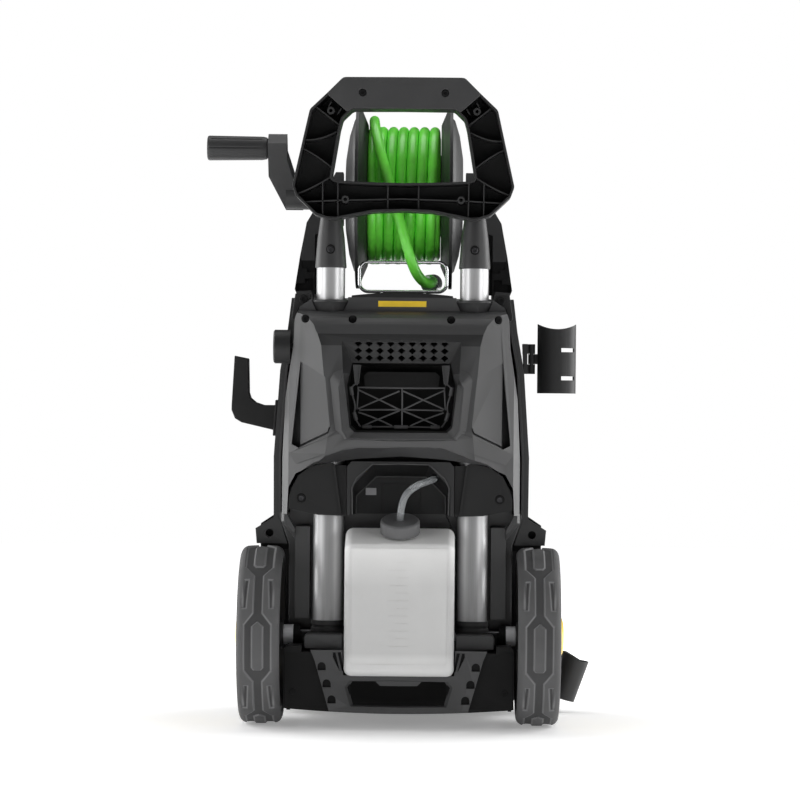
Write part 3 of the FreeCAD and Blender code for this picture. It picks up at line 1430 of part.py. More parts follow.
def switch_and_knob():
    """Rotary switch inside the left wall and its round knob outside."""
    centre = (y_at("knob_y"), "knob_z")
    profile = [("knob_face", "0"), ("knob_face", "knob_radius - 1.5"), ("knob_face - 1.5", "knob_radius"),
               ("knob_root", "knob_radius"), ("knob_root", "knob_radius - knob_wall"),
               ("knob_face - knob_wall", "knob_radius - knob_wall"), ("knob_face - knob_wall", "knob_shaft + 3"),
               ("knob_root + 2", "knob_shaft + 3"), ("knob_root + 2", "knob_shaft"),
               ("knob_face - knob_wall", "knob_shaft"), ("knob_face - knob_wall", "0")]
    knob = turned("knob_body", "X", centre, sided(-1, profile))
    spindle = rod("knob_spindle", "X", centre, "knob_shaft", "-(knob_face - knob_wall)", "-(switch_outer - 1)")
    node("power_knob", join("power_knob", [knob, spindle]))
    node("switch_box", block("switch_box", "-(switch_outer - 1.2)", "-(switch_outer - switch_thick)",
                             y_at("knob_y - switch_half"), y_at("knob_y + switch_half"),
                             "knob_z - switch_half", "knob_z + switch_half"))


def cable_hook():
    """Upturned hook for the mains cable on the left side."""
    root = "shell_chest_half + side_plate"
    outline = [(f"{root} + 2.8", "hook_neck"), (f"{root} + 4.8", "hook_foot - 9"), ("hook_tip - 8.5", "hook_foot"),
               ("hook_tip - 1", "hook_foot + 4.5"), ("hook_tip + 3", "hook_foot + 14"),
               ("hook_tip + 3", "hook_foot + 19"), ("hook_tip", "hook_top"), ("hook_inner", "hook_top - 3"),
               ("hook_inner - 1", "hook_neck + 14"), ("hook_inner - 3", "hook_neck + 8"),
               ("hook_inner - 9", "hook_neck + 3"), ("hook_inner - 18", "hook_neck")]
    hook = prism("hook_arm", "Y", sided(-1, outline), y_at("hook_y - hook_half"), y_at("hook_y + hook_half"))
    foot = prism("hook_foot_plate", "Y", sided(-1, [
        (f"{root} + 2.4", "hook_neck + 6"), (f"{root} + 2.4 + hook_plate", "hook_neck + 6"),
        (f"{root} + 5.2 + hook_plate", "hook_foot - 15"), (f"{root} + 5.2", "hook_foot - 15")]),
        y_at("hook_y - hook_half - 3"), y_at("hook_y + hook_half + 3"))
    node("cable_hook", join("cable_hook", [hook, foot]))


def holster():
    """Half-round trough for the gun, hinged on a bracket on the right side."""
    centre = ("holster_x", y_at("holster_y"))
    outer = rod("holster_outer", "Z", centre, "holster_radius", "holster_low", "holster_high")
    inner = rod("holster_inner", "Z", centre, "holster_radius - holster_wall", "holster_low - 1", "holster_high + 1")
    mouth = block("holster_mouth", "holster_x - 40", "holster_x + 40", y_at("holster_y + holster_open"),
                  y_at("holster_y + 40"), "holster_low - 1", "holster_high + 1")
    slots = [block(f"holster_slot_{number}", "holster_x + 4.5", "holster_x + 19.5", y_at("holster_y - 30"),
                   y_at("holster_y - 1"), f"holster_low + {up}", f"holster_low + {up} + 4.5")
             for number, up in enumerate((15, 47))]
    slots.append(rod("holster_scoop", "Y", ("holster_x", "holster_high + 2 * holster_radius - 7"),
                     "2 * holster_radius - 1", y_at("holster_y - 40"), y_at("holster_y + 40")))
    trough = carve("holster_trough", outer, [inner, mouth] + slots)
    pin_centre = ("holster_pin_x", y_at("holster_y"))
    low = "knuckle_low + knuckle_third + pin_gap"
    high = "knuckle_high - knuckle_third - pin_gap"
    eye = rod("holster_eye", "Z", pin_centre, "knuckle_radius", low, high)
    tab = block("holster_tab", "holster_pin_x", "holster_x - holster_radius + holster_wall - 0.5",
                y_at("holster_y - 2"), y_at("holster_y + 2"), low, high)
    moving = join("holster_joined", [trough, eye, tab])
    bore = rod("holster_bore", "Z", pin_centre, "holster_pin + turn_gap", "knuckle_low", "knuckle_high")
    clear = rod("holster_clear", "Z", centre, "holster_radius - holster_wall", "holster_low - 1", "holster_high + 1")
    node("gun_holster", carve("gun_holster", moving, [bore, clear]))

    parts = []
    wall = "shell_chest_half + side_plate - 1.6"
    for number, (low, high) in enumerate((("knuckle_low", "knuckle_low + knuckle_third"),
                                          ("knuckle_high - knuckle_third", "knuckle_high"))):
        parts.append(rod(f"bracket_eye_{number}", "Z", pin_centre, "knuckle_radius", low, high))
        parts.append(block(f"bracket_tab_{number}", wall, "holster_pin_x", y_at("holster_y - 2"),
                           y_at("holster_y + 2"), low, high))
    parts.append(prism("bracket_plate", "Y", [
        ("shell_chest_half + side_plate + 0.1", "knuckle_low"), ("holster_pin_x - knuckle_radius - 1.2", "knuckle_low"),
        ("holster_pin_x - knuckle_radius - 1.2", "knuckle_high"), (wall, "knuckle_high")],
        y_at("holster_y - 14"), y_at("holster_y + 14")))
    trim = prism("bracket_trim", "Y", [
        ("shell_belly_half + side_plate", "shell_belly"), ("shell_chest_half + side_plate", "shell_chest"),
        ("shell_shoulder_half + side_plate", SHELL_SHOULDER), ("100", SHELL_SHOULDER), ("100", "shell_belly")],
        y_at("holster_y - 30"), y_at("holster_y + 30"))
    joined = join("bracket_joined", parts)
    pin_hole = rod("bracket_bore", "Z", pin_centre, "holster_pin", "knuckle_low - 1", "knuckle_high + 1")
    bored = carve("bracket_bored", joined, [trim, pin_hole])
    pin = rod("holster_pin_bar", "Z", pin_centre, "holster_pin", "knuckle_low", "knuckle_high")
    node("holster_bracket", join("holster_bracket", [bored, pin]))


def lance_cup():
    """Tilted cup for the lance's nozzle at the front right, on an arm of the chassis."""
    tilt = FreeCAD.Rotation(V(0, 1, 0), value("cup_tilt"))
    outer = doc.addObject("Part::Cone", "cup_outer")
    outer.setExpression("Radius1", linked("cup_radius - 4"))
    outer.setExpression("Radius2", linked("cup_radius"))
    outer.setExpression("Height", linked("cup_long"))
    place(outer, "cup_x", y_at("cup_y"), "cup_low + 4", tilt)
    inner = doc.addObject("Part::Cone", "cup_inner")
    inner.setExpression("Radius1", linked("cup_radius - 4 - cup_wall"))
    inner.setExpression("Radius2", linked("cup_radius - cup_wall"))
    inner.setExpression("Height", linked("cup_long"))
    lift = math.radians(value("cup_tilt"))
    place(inner, f"cup_x + cup_wall * {math.sin(lift)}", y_at("cup_y"),
          f"cup_low + 4 + cup_wall * {math.cos(lift)}", tilt)
    arm = block("cup_arm", "nose_half_width", "cup_x + 4", y_at("cup_y - 7"), y_at("cup_y + 7"),
                "cup_low + 10", "cup_low + 34")
    lip = block("cup_flange", "nose_half_width", "nose_half_width + 4", y_at("cup_y - 20"), y_at("cup_y + 20"),
                "cup_low + 8", "cup_low + 40")
    joined = join("cup_joined", [outer, arm, lip])
    scoop = prism("cup_scoop", "Y", [
        ("cup_x - 22", "cup_low + 75"), ("cup_x + 1", "cup_low + cup_long + 7"),
        ("cup_x + 20", "cup_low + cup_long - 5"), ("cup_x + 28", "cup_low + cup_long - 6"),
        ("cup_x + 40", "cup_low + cup_long - 8"), ("cup_x + 40", "cup_low + 99"), ("cup_x - 22", "cup_low + 99")],
        y_at("cup_y - 30"), y_at("cup_y + 30"))
    node("lance_cup", carve("lance_cup", joined, [inner, scoop]))


def cable_gland():
    """Gland in the left side where the mains cable enters."""
    wall = "shell_foot_half + 1"
    profile = [(f"{wall} - 12", "gland_bore"), (f"{wall} - 12", "gland_radius - 3.1"),
               (f"{wall} - 0.3", "gland_radius - 3.1"), (f"{wall} + 1", "gland_radius"),
               (f"{wall} + 5", "gland_radius"), (f"{wall} + gland_long", "gland_bore + 1.5"),
               (f"{wall} + gland_long", "gland_bore")]
    node("cable_gland", turned("cable_gland", "X", (y_at("gland_y"), "gland_z"), sided(-1, profile)))


# Detergent bottle

def bottle_outline(inset):
    """Side profile of the bottle as (y, z), drawn in by inset."""
    rear = y_behind("bottle_rear")
    front = y_behind("bottle_front")
    rise = "(bottle_rear - bottle_front) * tan(bottle_slope * 1deg)"
    return [(f"{rear} + {inset}", f"shelf_height + 0.3 + {inset}"),
            (f"{front} - {inset}", f"shelf_height + 0.3 + {inset}"),
            (f"{front} - {inset}", f"bottle_rear_top + {rise} - {inset}"),
            (f"{rear} + {inset}", f"bottle_rear_top - {inset}")]


def bottle_block(name, inset):
    """Rounded block of the bottle's shape."""
    half = f"bottle_half - {inset}"
    body = prism(name, "X", bottle_outline(inset), f"-({half})", half)
    round_edges(body, f"bottle_round - {inset}", lambda edge: True)
    return body


def tilted(thing, depth, up):
    """Stand a piece made about the vertical axis on the bottle's sloping top."""
    place(thing, "0", depth, up, FreeCAD.Rotation(V(1, 0, 0), value("bottle_slope")))


def bottle():
    """Blow-moulded bottle with a tilted neck, cap and dip tube."""
    outer = bottle_block("bottle_outer", "0")
    inner = bottle_block("bottle_inner", "bottle_wall")
    depth = y_behind("bottle_rear - neck_depth")
    foot = "bottle_rear_top + neck_depth * tan(bottle_slope * 1deg)"
    neck = rod("bottle_neck", "Z", ("0", "0"), "neck_radius", "-1", "neck_long")
    mouth = rod("bottle_mouth", "Z", ("0", "0"), "neck_radius - bottle_wall", "-6", "neck_long + 1")
    solid_neck = doc.addObject("Part::Compound", "neck_placed")
    solid_neck.Links = [neck]
    tilted(solid_neck, depth, foot)
    open_neck = doc.addObject("Part::Compound", "mouth_placed")
    open_neck.Links = [mouth]
    tilted(open_neck, depth, foot)
    shell = carve("bottle_shell", join("bottle_body", [outer, solid_neck]), [inner, open_neck])
    node("detergent_bottle", shell)

    top = "neck_long + cap_gap"
    profile = [("2", "neck_radius + 0.4"), ("2", "cap_outer"), ("cap_height - 2", "cap_outer"),
               ("cap_height", "cap_outer - 2"), ("cap_height", "suction_radius"), (top, "suction_radius"),
               (top, "neck_radius + 0.4")]
    cap = turned("bottle_cap", "Z", ("0", "0"), profile)
    tilted(cap, depth, foot)
    node("bottle_cap", cap)
    dip = rod("dip_pipe", "Z", ("0", "axle_y - bottle_rear + 24"), "dip_radius", "shelf_height + 16",
              "bottle_rear_top - 12")
    strainer = rod("dip_strainer", "Z", ("0", "axle_y - bottle_rear + 24"), "filter_radius",
                   "shelf_height + 0.3 + bottle_wall + 0.3", "shelf_height + 0.3 + bottle_wall + 0.3 + filter_long")
    node("dip_tube", join("dip_tube", [dip, strainer]))


def suction_tube():
    """Clear hose from the cap's top to the hole in the hood."""
    slope = math.radians(value("bottle_slope"))
    depth = value(y_behind("bottle_rear - neck_depth"))
    foot = value("bottle_rear_top + neck_depth * tan(bottle_slope * 1deg)")
    up = V(0, -math.sin(slope), math.cos(slope))
    start = V(0, depth, foot) + up * value("neck_long + cap_gap + 0.3")
    across = value("suction_x")
    level = value("suction_z")
    axle_y = value("axle_y")
    points = [start, start + up * 26, V(12, axle_y - 47, level - 9), V(across, axle_y - 30, level),
              V(across + 0.4, axle_y - 3, level), V(across, value(y_at("split")) - 1, level)]
    node("suction_tube", swept("suction_tube", points, value("suction_radius") - 0.3, 1.0))


# Motor and pump

def motor():
    """Upright motor: stator, and a rotor of core, shaft and swash plate with a fan on top."""
    centre = ("0", y_at("motor_y"))
    node("motor_stator", turned("motor_stator", "Z", centre, ring_profile(
        "motor_low", "motor_high", "rotor_radius + rotor_gap", "motor_radius")))
    core = turned("rotor_core", "Z", centre, ring_profile(
        "motor_low + 10", "motor_high - 10", "motor_shaft", "rotor_radius"))
    swash_top = "motor_low - 30"
    shaft = rod("rotor_shaft", "Z", centre, "motor_shaft", swash_top, "fan_low + fan_thick + 4")
    swash = turned("swash_plate", "Z", centre, [
        (swash_top, "0"), (swash_top, "swash_radius"), (f"{swash_top} - swash_thick", "swash_radius - 6"),
        (f"{swash_top} - swash_thick", "0")])
    node("motor_rotor", join("motor_rotor", [core, shaft, swash]))
    node("cooling_fan", turned("cooling_fan", "Z", centre, ring_profile(
        "fan_low", "fan_low + fan_thick", "motor_shaft", "fan_radius")))


def pump():
    """Axial pump under the motor: body, head with its valve block, cradle and water inlet."""
    centre = ("0", y_at("motor_y"))
    profile = [("pump_low", "pump_radius"), ("motor_low", "pump_radius"),
               ("motor_low", "motor_shaft + 4"), ("motor_low - 14", "motor_shaft + 4"),
               ("motor_low - 14", "swash_radius + 4"), ("pump_low + 24", "swash_radius + 4"),
               ("pump_low + 24", "0"), ("pump_low", "0")]
    node("pump_body", turned("pump_body", "Z", centre, profile))
    head = block("head_block", "-head_half", "head_half", y_at("motor_y - head_half"), y_at("motor_y + head_half"),
                 "head_low", "pump_low")
    valve = block("valve_block", "head_half - 1", "head_half + 16", y_at("motor_y - 24"), y_at("motor_y + 4"),
                  "head_low + 6", "head_low + 34")
    inlet_seat = rod("inlet_seat", "Y", ("inlet_x", "inlet_z"), "inlet_neck", y_at("motor_y + 20"),
                     y_at("motor_y + 60"))
    node("pump_head", carve("pump_head", join("pump_head_body", [head, valve]), [inlet_seat]))
    outer = block("cradle_outer", "-cradle_half", "cradle_half", y_at("motor_y - cradle_half"),
                  y_at("motor_y + cradle_half"), "base_floor + base_wall", "head_low")
    hollow = block("cradle_hollow", "-(cradle_half - cradle_wall)", "cradle_half - cradle_wall",
                   y_at("motor_y - cradle_half - 1"), y_at("motor_y + cradle_half + 1"),
                   "base_floor + base_wall + cradle_wall", "head_low - cradle_wall")
    node("pump_cradle", carve("pump_cradle", outer, [hollow]))
    shell = y_at("front_foot")
    far = f"{shell} + inlet_long - 8"
    start = y_at("motor_y + 20")
    profile = [(start, "inlet_bore"), (start, "inlet_neck"), (f"{shell} - 12", "inlet_neck"),
               (f"{shell} - 12", "inlet_radius + 1.6"), (f"{shell} + 1", "inlet_radius + 1.6"),
               (f"{shell} + 1", "inlet_radius"), (far, "inlet_radius"), (far, "inlet_bore")]
    node("water_inlet", turned("water_inlet", "Y", ("inlet_x", "inlet_z"), profile))


def feed_pipe():
    """High-pressure pipe from the pump head up the right side into the reel's tower."""
    x_up = value("tower_inner + feed_in")
    y_up = value(y_at("reel_y"))
    low = value("pump_low") - 10
    y_head = value(y_at("motor_y")) + 26
    top = value("cover_top")
    points = [V(value("head_half") + 0.5, y_head, low), V(80, y_head, low + 2), V(x_up - 6, y_head - 2, low + 36),
              V(x_up - 1, y_up + 4, low + 92), V(x_up, y_up, low + 160), V(x_up - 1, y_up - 1, low + 230),
              V(x_up, y_up, top - 40), V(x_up, y_up - 0.5, value("tower_window_low") + 8)]
    node("feed_pipe", swept("feed_pipe", points, value("feed_radius"), 2))


def handle():
    """Sleeves, grip and their screws."""
    grip(sleeves())


def main():
    """Build every sub-part, check it and write its STEP file."""
    for build in (wheels, axle, base_chassis, rear_skirt, feet, handle_tubes, handle, rear_cover, vent_grille,
                   storage_net, tube_clamps, bottle_hood, lower_rear_panel, front_shell,
                  side_plates, towers, reel, crank, reel_swivel, hose_lead, hose_guide, switch_and_knob,
                  cable_hook, holster, lance_cup, cable_gland, bottle, suction_tube, motor, pump, feed_pipe):
        build()
    doc.recompute()
    faults = [thing.Label for thing in doc.Objects if {"Invalid", "Error"} & set(thing.State)]
    for thing in NODES:
        if thing.Shape.isNull() or not thing.Shape.isValid() or not thing.Shape.Solids:
            faults.append(thing.Label + " has no valid solid")
    if faults:
        raise RuntimeError("failed: " + ", ".join(faults))
    os.makedirs("parts", exist_ok=True)
    for thing in NODES:
        thing.Shape.exportStep(os.path.join("parts", thing.Label + ".step"))
    print(len(NODES), "sub-parts written")


main()
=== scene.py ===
"""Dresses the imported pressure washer: camera and light, hoses, tyres, housings, net and materials.
Pieces are sized in millimetres. Depths given to at() count from the axle's plane, and minus is rearward."""
import json
import math
import bpy
import bmesh
from mathutils import Matrix, Vector


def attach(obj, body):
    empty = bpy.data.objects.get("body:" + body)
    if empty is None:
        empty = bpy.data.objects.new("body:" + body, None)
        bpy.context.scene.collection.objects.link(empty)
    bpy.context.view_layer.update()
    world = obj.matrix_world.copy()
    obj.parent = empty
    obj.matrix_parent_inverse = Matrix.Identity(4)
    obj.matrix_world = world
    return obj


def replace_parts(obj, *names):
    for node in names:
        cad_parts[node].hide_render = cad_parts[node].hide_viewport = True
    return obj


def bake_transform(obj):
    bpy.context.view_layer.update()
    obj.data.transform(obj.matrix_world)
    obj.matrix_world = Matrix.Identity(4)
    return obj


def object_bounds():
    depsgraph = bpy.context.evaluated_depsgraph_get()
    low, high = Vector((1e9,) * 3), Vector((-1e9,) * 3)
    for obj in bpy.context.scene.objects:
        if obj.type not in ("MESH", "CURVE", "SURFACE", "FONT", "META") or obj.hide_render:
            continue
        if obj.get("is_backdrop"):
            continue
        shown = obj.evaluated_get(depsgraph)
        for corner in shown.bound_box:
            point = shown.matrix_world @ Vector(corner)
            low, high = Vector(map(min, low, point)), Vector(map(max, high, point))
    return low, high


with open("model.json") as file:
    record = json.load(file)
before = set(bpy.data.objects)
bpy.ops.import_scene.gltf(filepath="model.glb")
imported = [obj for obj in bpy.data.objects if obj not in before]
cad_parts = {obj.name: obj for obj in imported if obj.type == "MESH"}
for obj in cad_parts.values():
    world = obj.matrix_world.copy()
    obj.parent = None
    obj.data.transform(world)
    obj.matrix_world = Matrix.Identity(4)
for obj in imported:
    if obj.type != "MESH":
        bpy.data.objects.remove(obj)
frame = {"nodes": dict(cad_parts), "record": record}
cad_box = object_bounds()
nodes = frame["nodes"]
scene = bpy.context.scene
MM = 0.001
WELD = 0.00002
AXLE_Y = -67.0
WHEEL_Z = 100.0
REEL_BACK = 127.0
REEL_Z = 603.8
TUBE_X = 81.0
TUBE_RADIUS = 17.5
SIDES = (("left", -1), ("right", 1))
ALONG_X = (1, 0, 0)
REARWARD = (0, -1, 0)
UPWARD = (0, 0, 1)


def at(x, back, z):
    """A point in metres, its depth measured from the axle's plane."""
    return Vector((x, AXLE_Y + back, z)) * MM


def placed(name, data):
    """A new object in the scene."""
    made = bpy.data.objects.new(name, data)
    scene.collection.objects.link(made)
    return made


# ---- camera, floor and light

def set_camera():
    eye = Vector((0.0374, -3.367, 0.365))
    aim = Vector((-0.0018, -0.067, 0.365))
    roll = math.radians(0.5)
    camera = placed("camera", bpy.data.cameras.new("camera"))
    camera.data.lens = 131.8
    camera.data.sensor_width = 36.0
    camera.data.clip_end = 50.0
    turn = (aim - eye).to_track_quat("-Z", "Y").to_matrix().to_4x4()
    camera.matrix_world = Matrix.Translation(eye) @ turn @ Matrix.Rotation(roll, 4, "Z")
    scene.camera = camera


def add_light(name, place, height, size, power):
    """A soft box that faces the machine's middle at the given height."""
    light = placed(name, bpy.data.lights.new(name, "AREA"))
    light.data.shape = "RECTANGLE"
    light.data.size, light.data.size_y = size
    light.data.energy = power
    light.location = place
    light.rotation_euler = (Vector((0, 0, height)) - Vector(place)).to_track_quat("-Z", "Y").to_euler()


def set_light():
    """A white surround for the eye, dimmer for the light it sheds, with soft boxes above and at each side."""
    world = bpy.data.worlds.new("studio")
    scene.world = world
    world.use_nodes = True
    tree = world.node_tree
    seen = tree.nodes["Background"]
    seen.inputs["Color"].default_value = (1, 1, 1, 1)
    shed = tree.nodes.new("ShaderNodeBackground")
    shed.inputs["Strength"].default_value = 0.04
    split = tree.nodes.new("ShaderNodeMixShader")
    tree.links.new(tree.nodes.new("ShaderNodeLightPath").outputs["Is Camera Ray"], split.inputs[0])
    tree.links.new(shed.outputs[0], split.inputs[1])
    tree.links.new(seen.outputs[0], split.inputs[2])
    tree.links.new(split.outputs[0], tree.nodes["World Output"].inputs["Surface"])
    for side in (-1, 1):
        add_light("flank", (side * 2.0, 0.7, 0.9), 0.35, (1.6, 2.2), 52)
        add_light("cheek", (side * 2.4, -1.9, 1.0), 0.35, (1.2, 1.6), 20)
    add_light("top", (0, 0.3, 2.6), 0.4, (2.2, 1.6), 26)
    add_light("brow", (0, -2.0, 2.3), 0.4, (2.0, 1.2), 3.5)
    scene.view_settings.view_transform = "Standard"


def add_floor():
    mesh = bpy.data.meshes.new("floor")
    form = bmesh.new()
    bmesh.ops.create_circle(form, cap_ends=True, segments=96, radius=4.0)
    form.to_mesh(mesh)
    form.free()
    floor = placed("floor", mesh)
    floor.location = (0, 0, -0.0005)
    mesh.materials.append(floor_paint())
    floor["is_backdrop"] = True


# ---- materials

class Paint:
    """A material being built: its node tree, its shader and the texture space of the piece itself."""

    def __init__(self, name, colour, roughness, **sockets):
        self.material = bpy.data.materials.new(name)
        self.material.use_nodes = True
        self.tree = self.material.node_tree
        self.shader = self.tree.nodes["Principled BSDF"]
        self.place = self.tree.nodes.new("ShaderNodeTexCoord").outputs["Object"]
        self.colour = colour
        self.shader.inputs["Base Color"].default_value = (*colour, 1)
        self.shader.inputs["Roughness"].default_value = roughness
        for socket, number in sockets.items():
            self.shader.inputs[socket.replace("_", " ")].default_value = number

    def node(self, kind, **facts):
        made = self.tree.nodes.new("ShaderNode" + kind)
        for fact, number in facts.items():
            setattr(made, fact, number)
        return made

    def link(self, source, target):
        self.tree.links.new(source, target)

    def stretched(self, scale):
        mapping = self.node("Mapping")
        mapping.inputs["Scale"].default_value = scale
        self.link(self.place, mapping.inputs["Vector"])
        return mapping.outputs["Vector"]

    def height(self):
        split = self.node("SeparateXYZ")
        self.link(self.place, split.inputs["Vector"])
        return split.outputs["Z"]

    def noise(self, scale, detail, space=None):
        texture = self.node("TexNoise")
        for socket, number in (("Scale", scale), ("Detail", detail), ("Roughness", 0.55)):
            texture.inputs[socket].default_value = number
        self.link(space or self.place, texture.inputs["Vector"])
        return texture.outputs["Fac"]

    def ramp(self, source, stops):
        ramp = self.node("ValToRGB")
        marks = ramp.color_ramp.elements
        while len(marks) < len(stops):
            marks.new(0.5)
        for mark, (position, colour) in zip(marks, stops):
            mark.position = position
            mark.color = (*colour, 1) if hasattr(colour, "__len__") else (colour, colour, colour, 1)
        self.link(source, ramp.inputs["Fac"])
        return ramp.outputs["Color"]

    def spread(self, source, low=0.0, high=1.0, start=0.0, stop=1.0):
        """A source's run from start to stop, made to run from low to high."""
        made = self.node("MapRange")
        for socket, number in (("From Min", start), ("From Max", stop), ("To Min", low), ("To Max", high)):
            made.inputs[socket].default_value = number
        self.link(source, made.inputs["Value"])
        return made.outputs["Result"]

    def tone(self, strength):
        """The paint's own colour, weaker or stronger."""
        return [c * strength for c in self.colour]

    def shades(self, source, low, high):
        """The paint's own colour, from low to high times its strength."""
        return self.ramp(source, [(0.35, self.tone(low)), (0.65, self.tone(high))])

    def mix(self, factor, first, second, mode="MIX"):
        mixer = self.node("Mix", data_type="RGBA", blend_type=mode)
        for socket, source in ((0, factor), (6, first), (7, second)):
            if isinstance(source, bpy.types.NodeSocket):
                self.link(source, mixer.inputs[socket])
            else:
                mixer.inputs[socket].default_value = source
        return mixer.outputs[2]

    def tint(self, source):
        self.link(source, self.shader.inputs["Base Color"])
        self.tinted = source

    def polish(self, source, low, high):
        self.link(self.spread(source, low, high), self.shader.inputs["Roughness"])

    def bump(self, source, depth, strength, under=None):
        bump = self.node("Bump")
        bump.inputs["Distance"].default_value = depth * MM
        bump.inputs["Strength"].default_value = strength
        self.link(source, bump.inputs["Height"])
        if under:
            self.link(under, bump.inputs["Normal"])
        self.link(bump.outputs["Normal"], self.shader.inputs["Normal"])
        return bump.outputs["Normal"]

    def finished(self, shine, relief):
        """Polish and grain from noise; each is the noise's scale and detail, then its effect."""
        self.polish(self.noise(*shine[:2]), *shine[2:])
        self.bump(self.noise(*relief[:2]), *relief[2:])
        return self.material


def moulded(name, colour, roughness=0.5, grain=1400, depth=0.05, specular=0.5):
    """Grained plastic, with soft blotches, polished patches and paler edges."""
    paint = Paint(name, colour, roughness, Specular_IOR_Level=specular)
    edges = paint.ramp(paint.node("NewGeometry").outputs["Pointiness"], [(0.5, 0.0), (0.58, 1.0)])
    pale = [min(1.0, c + 0.006) for c in paint.tone(1.5)]
    paint.tint(paint.mix(edges, paint.shades(paint.noise(14, 4), 0.86, 1.14), (*pale, 1)))
    paint.polish(paint.noise(45, 5), roughness - 0.07, roughness + 0.09)
    under = paint.bump(paint.noise(grain, 2), depth, 0.6)
    paint.bump(paint.noise(60, 2), 0.03, 0.5, under)
    return paint.material


def dark_moulding(name, tone, roughness=0.48, specular=0.5):
    return moulded(name, (tone, tone * 1.005, tone * 1.03), roughness, specular=specular)


def metal(name, colour, roughness, stretch=(1, 1, 1), scale=900, depth=0.01):
    """Metal with drawn or brushed marks along one axis, and faint smudges."""
    paint = Paint(name, colour, roughness, Metallic=1.0)
    lines = paint.noise(scale, 3, paint.stretched(stretch))
    smudges = paint.noise(22, 4)
    paint.tint(paint.mix(smudges, paint.shades(lines, 0.9, 1.05), (*paint.tone(0.93), 1)))
    paint.polish(paint.mix(0.5, lines, smudges), roughness * 0.6, roughness * 1.4)
    paint.bump(lines, depth, 0.4)
    return paint.material


def tube_paint(name, tone):
    """Satin anodised tube, with a painted reflection by viewing angle: a duller middle between two bright
    bands, and darker toward its edges.
    """
    paint = Paint(name, (tone, tone, tone * 1.01), 0.38, Metallic=0.35)
    lines = paint.noise(1500, 3, paint.stretched((1, 1, 0.02)))
    # Painted reflection: the base colour follows the viewing angle, with bright bands and dark edges.
    bands = [(0.0, 0.42), (0.03, 0.5), (0.1, 0.9), (0.3, 0.95), (0.55, 0.45), (0.9, 0.1)]
    painted_reflection = paint.ramp(paint.node("LayerWeight").outputs["Facing"], bands)
    paint.tint(paint.mix(1.0, paint.shades(lines, 0.94, 1.03), painted_reflection, "MULTIPLY"))
    paint.polish(paint.noise(40, 3), 0.32, 0.46)
    paint.bump(lines, 0.004, 0.4)
    return paint.material


def floor_paint():
    """White board that glows more the farther it is from the machine, so that it meets the white surround."""
    paint = Paint("floor_paint", (0.95, 0.95, 0.95), 0.8, Specular_IOR_Level=0.1)
    paint.tint(paint.shades(paint.noise(6, 2), 0.99, 1.0))
    reach = paint.node("VectorMath", operation="LENGTH")
    paint.link(paint.place, reach.inputs[0])
    glow = paint.spread(reach.outputs["Value"], 0.25, 1.0, 0.25, 1.2)
    paint.link(glow, paint.shader.inputs["Emission Strength"])
    paint.shader.inputs["Emission Color"].default_value = (1, 1, 1, 1)
    return paint.material


def coated(name, colour, roughness, mottle, shine, relief, **sockets):
    """A smooth coat; mottle too is a noise's scale and detail, then its effect."""
    paint = Paint(name, colour, roughness, **sockets)
    paint.tint(paint.shades(paint.noise(*mottle[:2]), *mottle[2:]))
    paint.finished(shine, relief)
    return paint


def yellow_gloss(name):
    return coated(name, (0.9, 0.62, 0.04), 0.3, (40, 3, 0.93, 1.05), (150, 3, 0.24, 0.38),
                  (1300, 2, 0.02, 0.4), Coat_Weight=0.2)


def hose_paint():
    return coated("hose_paint", (0.2, 0.92, 0.08), 0.35, (30, 3, 0.88, 1.12), (120, 3, 0.24, 0.4),
                  (700, 2, 0.04, 0.4), Coat_Weight=0.2, Coat_Roughness=0.2).material


def clear_paint():
    return coated("clear_paint", (0.9, 0.93, 0.95), 0.12, (90, 2, 0.92, 1.0), (150, 2, 0.08, 0.2),
                  (260, 2, 0.03, 0.3), Transmission_Weight=0.85, IOR=1.4).material


def label_paint():
    """Yellow gloss for the label on the brow and pale grey for the small one under the hood."""
    paint = yellow_gloss("label_gloss")
    between = 0.35
    upper = paint.node("Math", operation="GREATER_THAN")
    upper.inputs[1].default_value = between
    paint.link(paint.height(), upper.inputs[0])
    paint.tint(paint.mix(upper.outputs[0], (0.3, 0.3, 0.31, 1), paint.tinted))
    return paint.material


def rubber_paint(name, colour, roughness=0.75):
    """Dusty rubber, with painted highlight along the edges of a tread and painted shade in its sunk parts."""
    paint = Paint(name, colour, roughness, Specular_IOR_Level=0.35)
    dust = paint.ramp(paint.noise(35, 5), [(0.45, 0.0), (0.8, 0.55)])
    worn_and_lit = paint.mix(dust, paint.shades(paint.noise(9, 3), 0.85, 1.15), (*paint.tone(1.35), 1))
    # Painted shade in the sunk parts, painted highlight along the tread's edges.
    for mark, strength in (("sunk", 0.62), ("edge", 2.6)):
        share = paint.node("Attribute", attribute_name=mark).outputs["Fac"]
        worn_and_lit = paint.mix(share, worn_and_lit, (*paint.tone(strength), 1))
    paint.tint(worn_and_lit)
    return paint.finished((80, 4, roughness - 0.12, roughness + 0.1), (1100, 3, 0.07, 0.7))


def bottle_paint():
    """Cloudy plastic, paler near its foot, with painted light that makes its shoulder paler."""
    paint = Paint("bottle_paint", (0.62, 0.62, 0.615), 0.38, Subsurface_Weight=0.2, Subsurface_Scale=0.02)
    paint.shader.inputs["Subsurface Radius"].default_value = (1, 1, 1)
    foot, shoulder = 0.058, 0.226
    # Colour by height: a paler band near the foot, and painted light toward the shoulder.
    stops = ((0.0, 0.64, 0.635), (0.05, 0.86, 0.855), (0.12, 0.82, 0.815), (0.16, 0.63, 0.625),
             (0.6, 0.62, 0.615), (0.8, 0.88, 0.87), (0.93, 0.97, 0.96))
    level = paint.spread(paint.height(), start=foot, stop=shoulder)
    foot_band_and_lit_shoulder = paint.ramp(level, [(share, (grey, grey, blue)) for share, grey, blue in stops])
    paint.tint(paint.mix(0.35, foot_band_and_lit_shoulder, paint.shades(paint.noise(18, 4), 0.93, 1.07)))
    return paint.finished((60, 3, 0.32, 0.46), (900, 2, 0.03, 0.4))


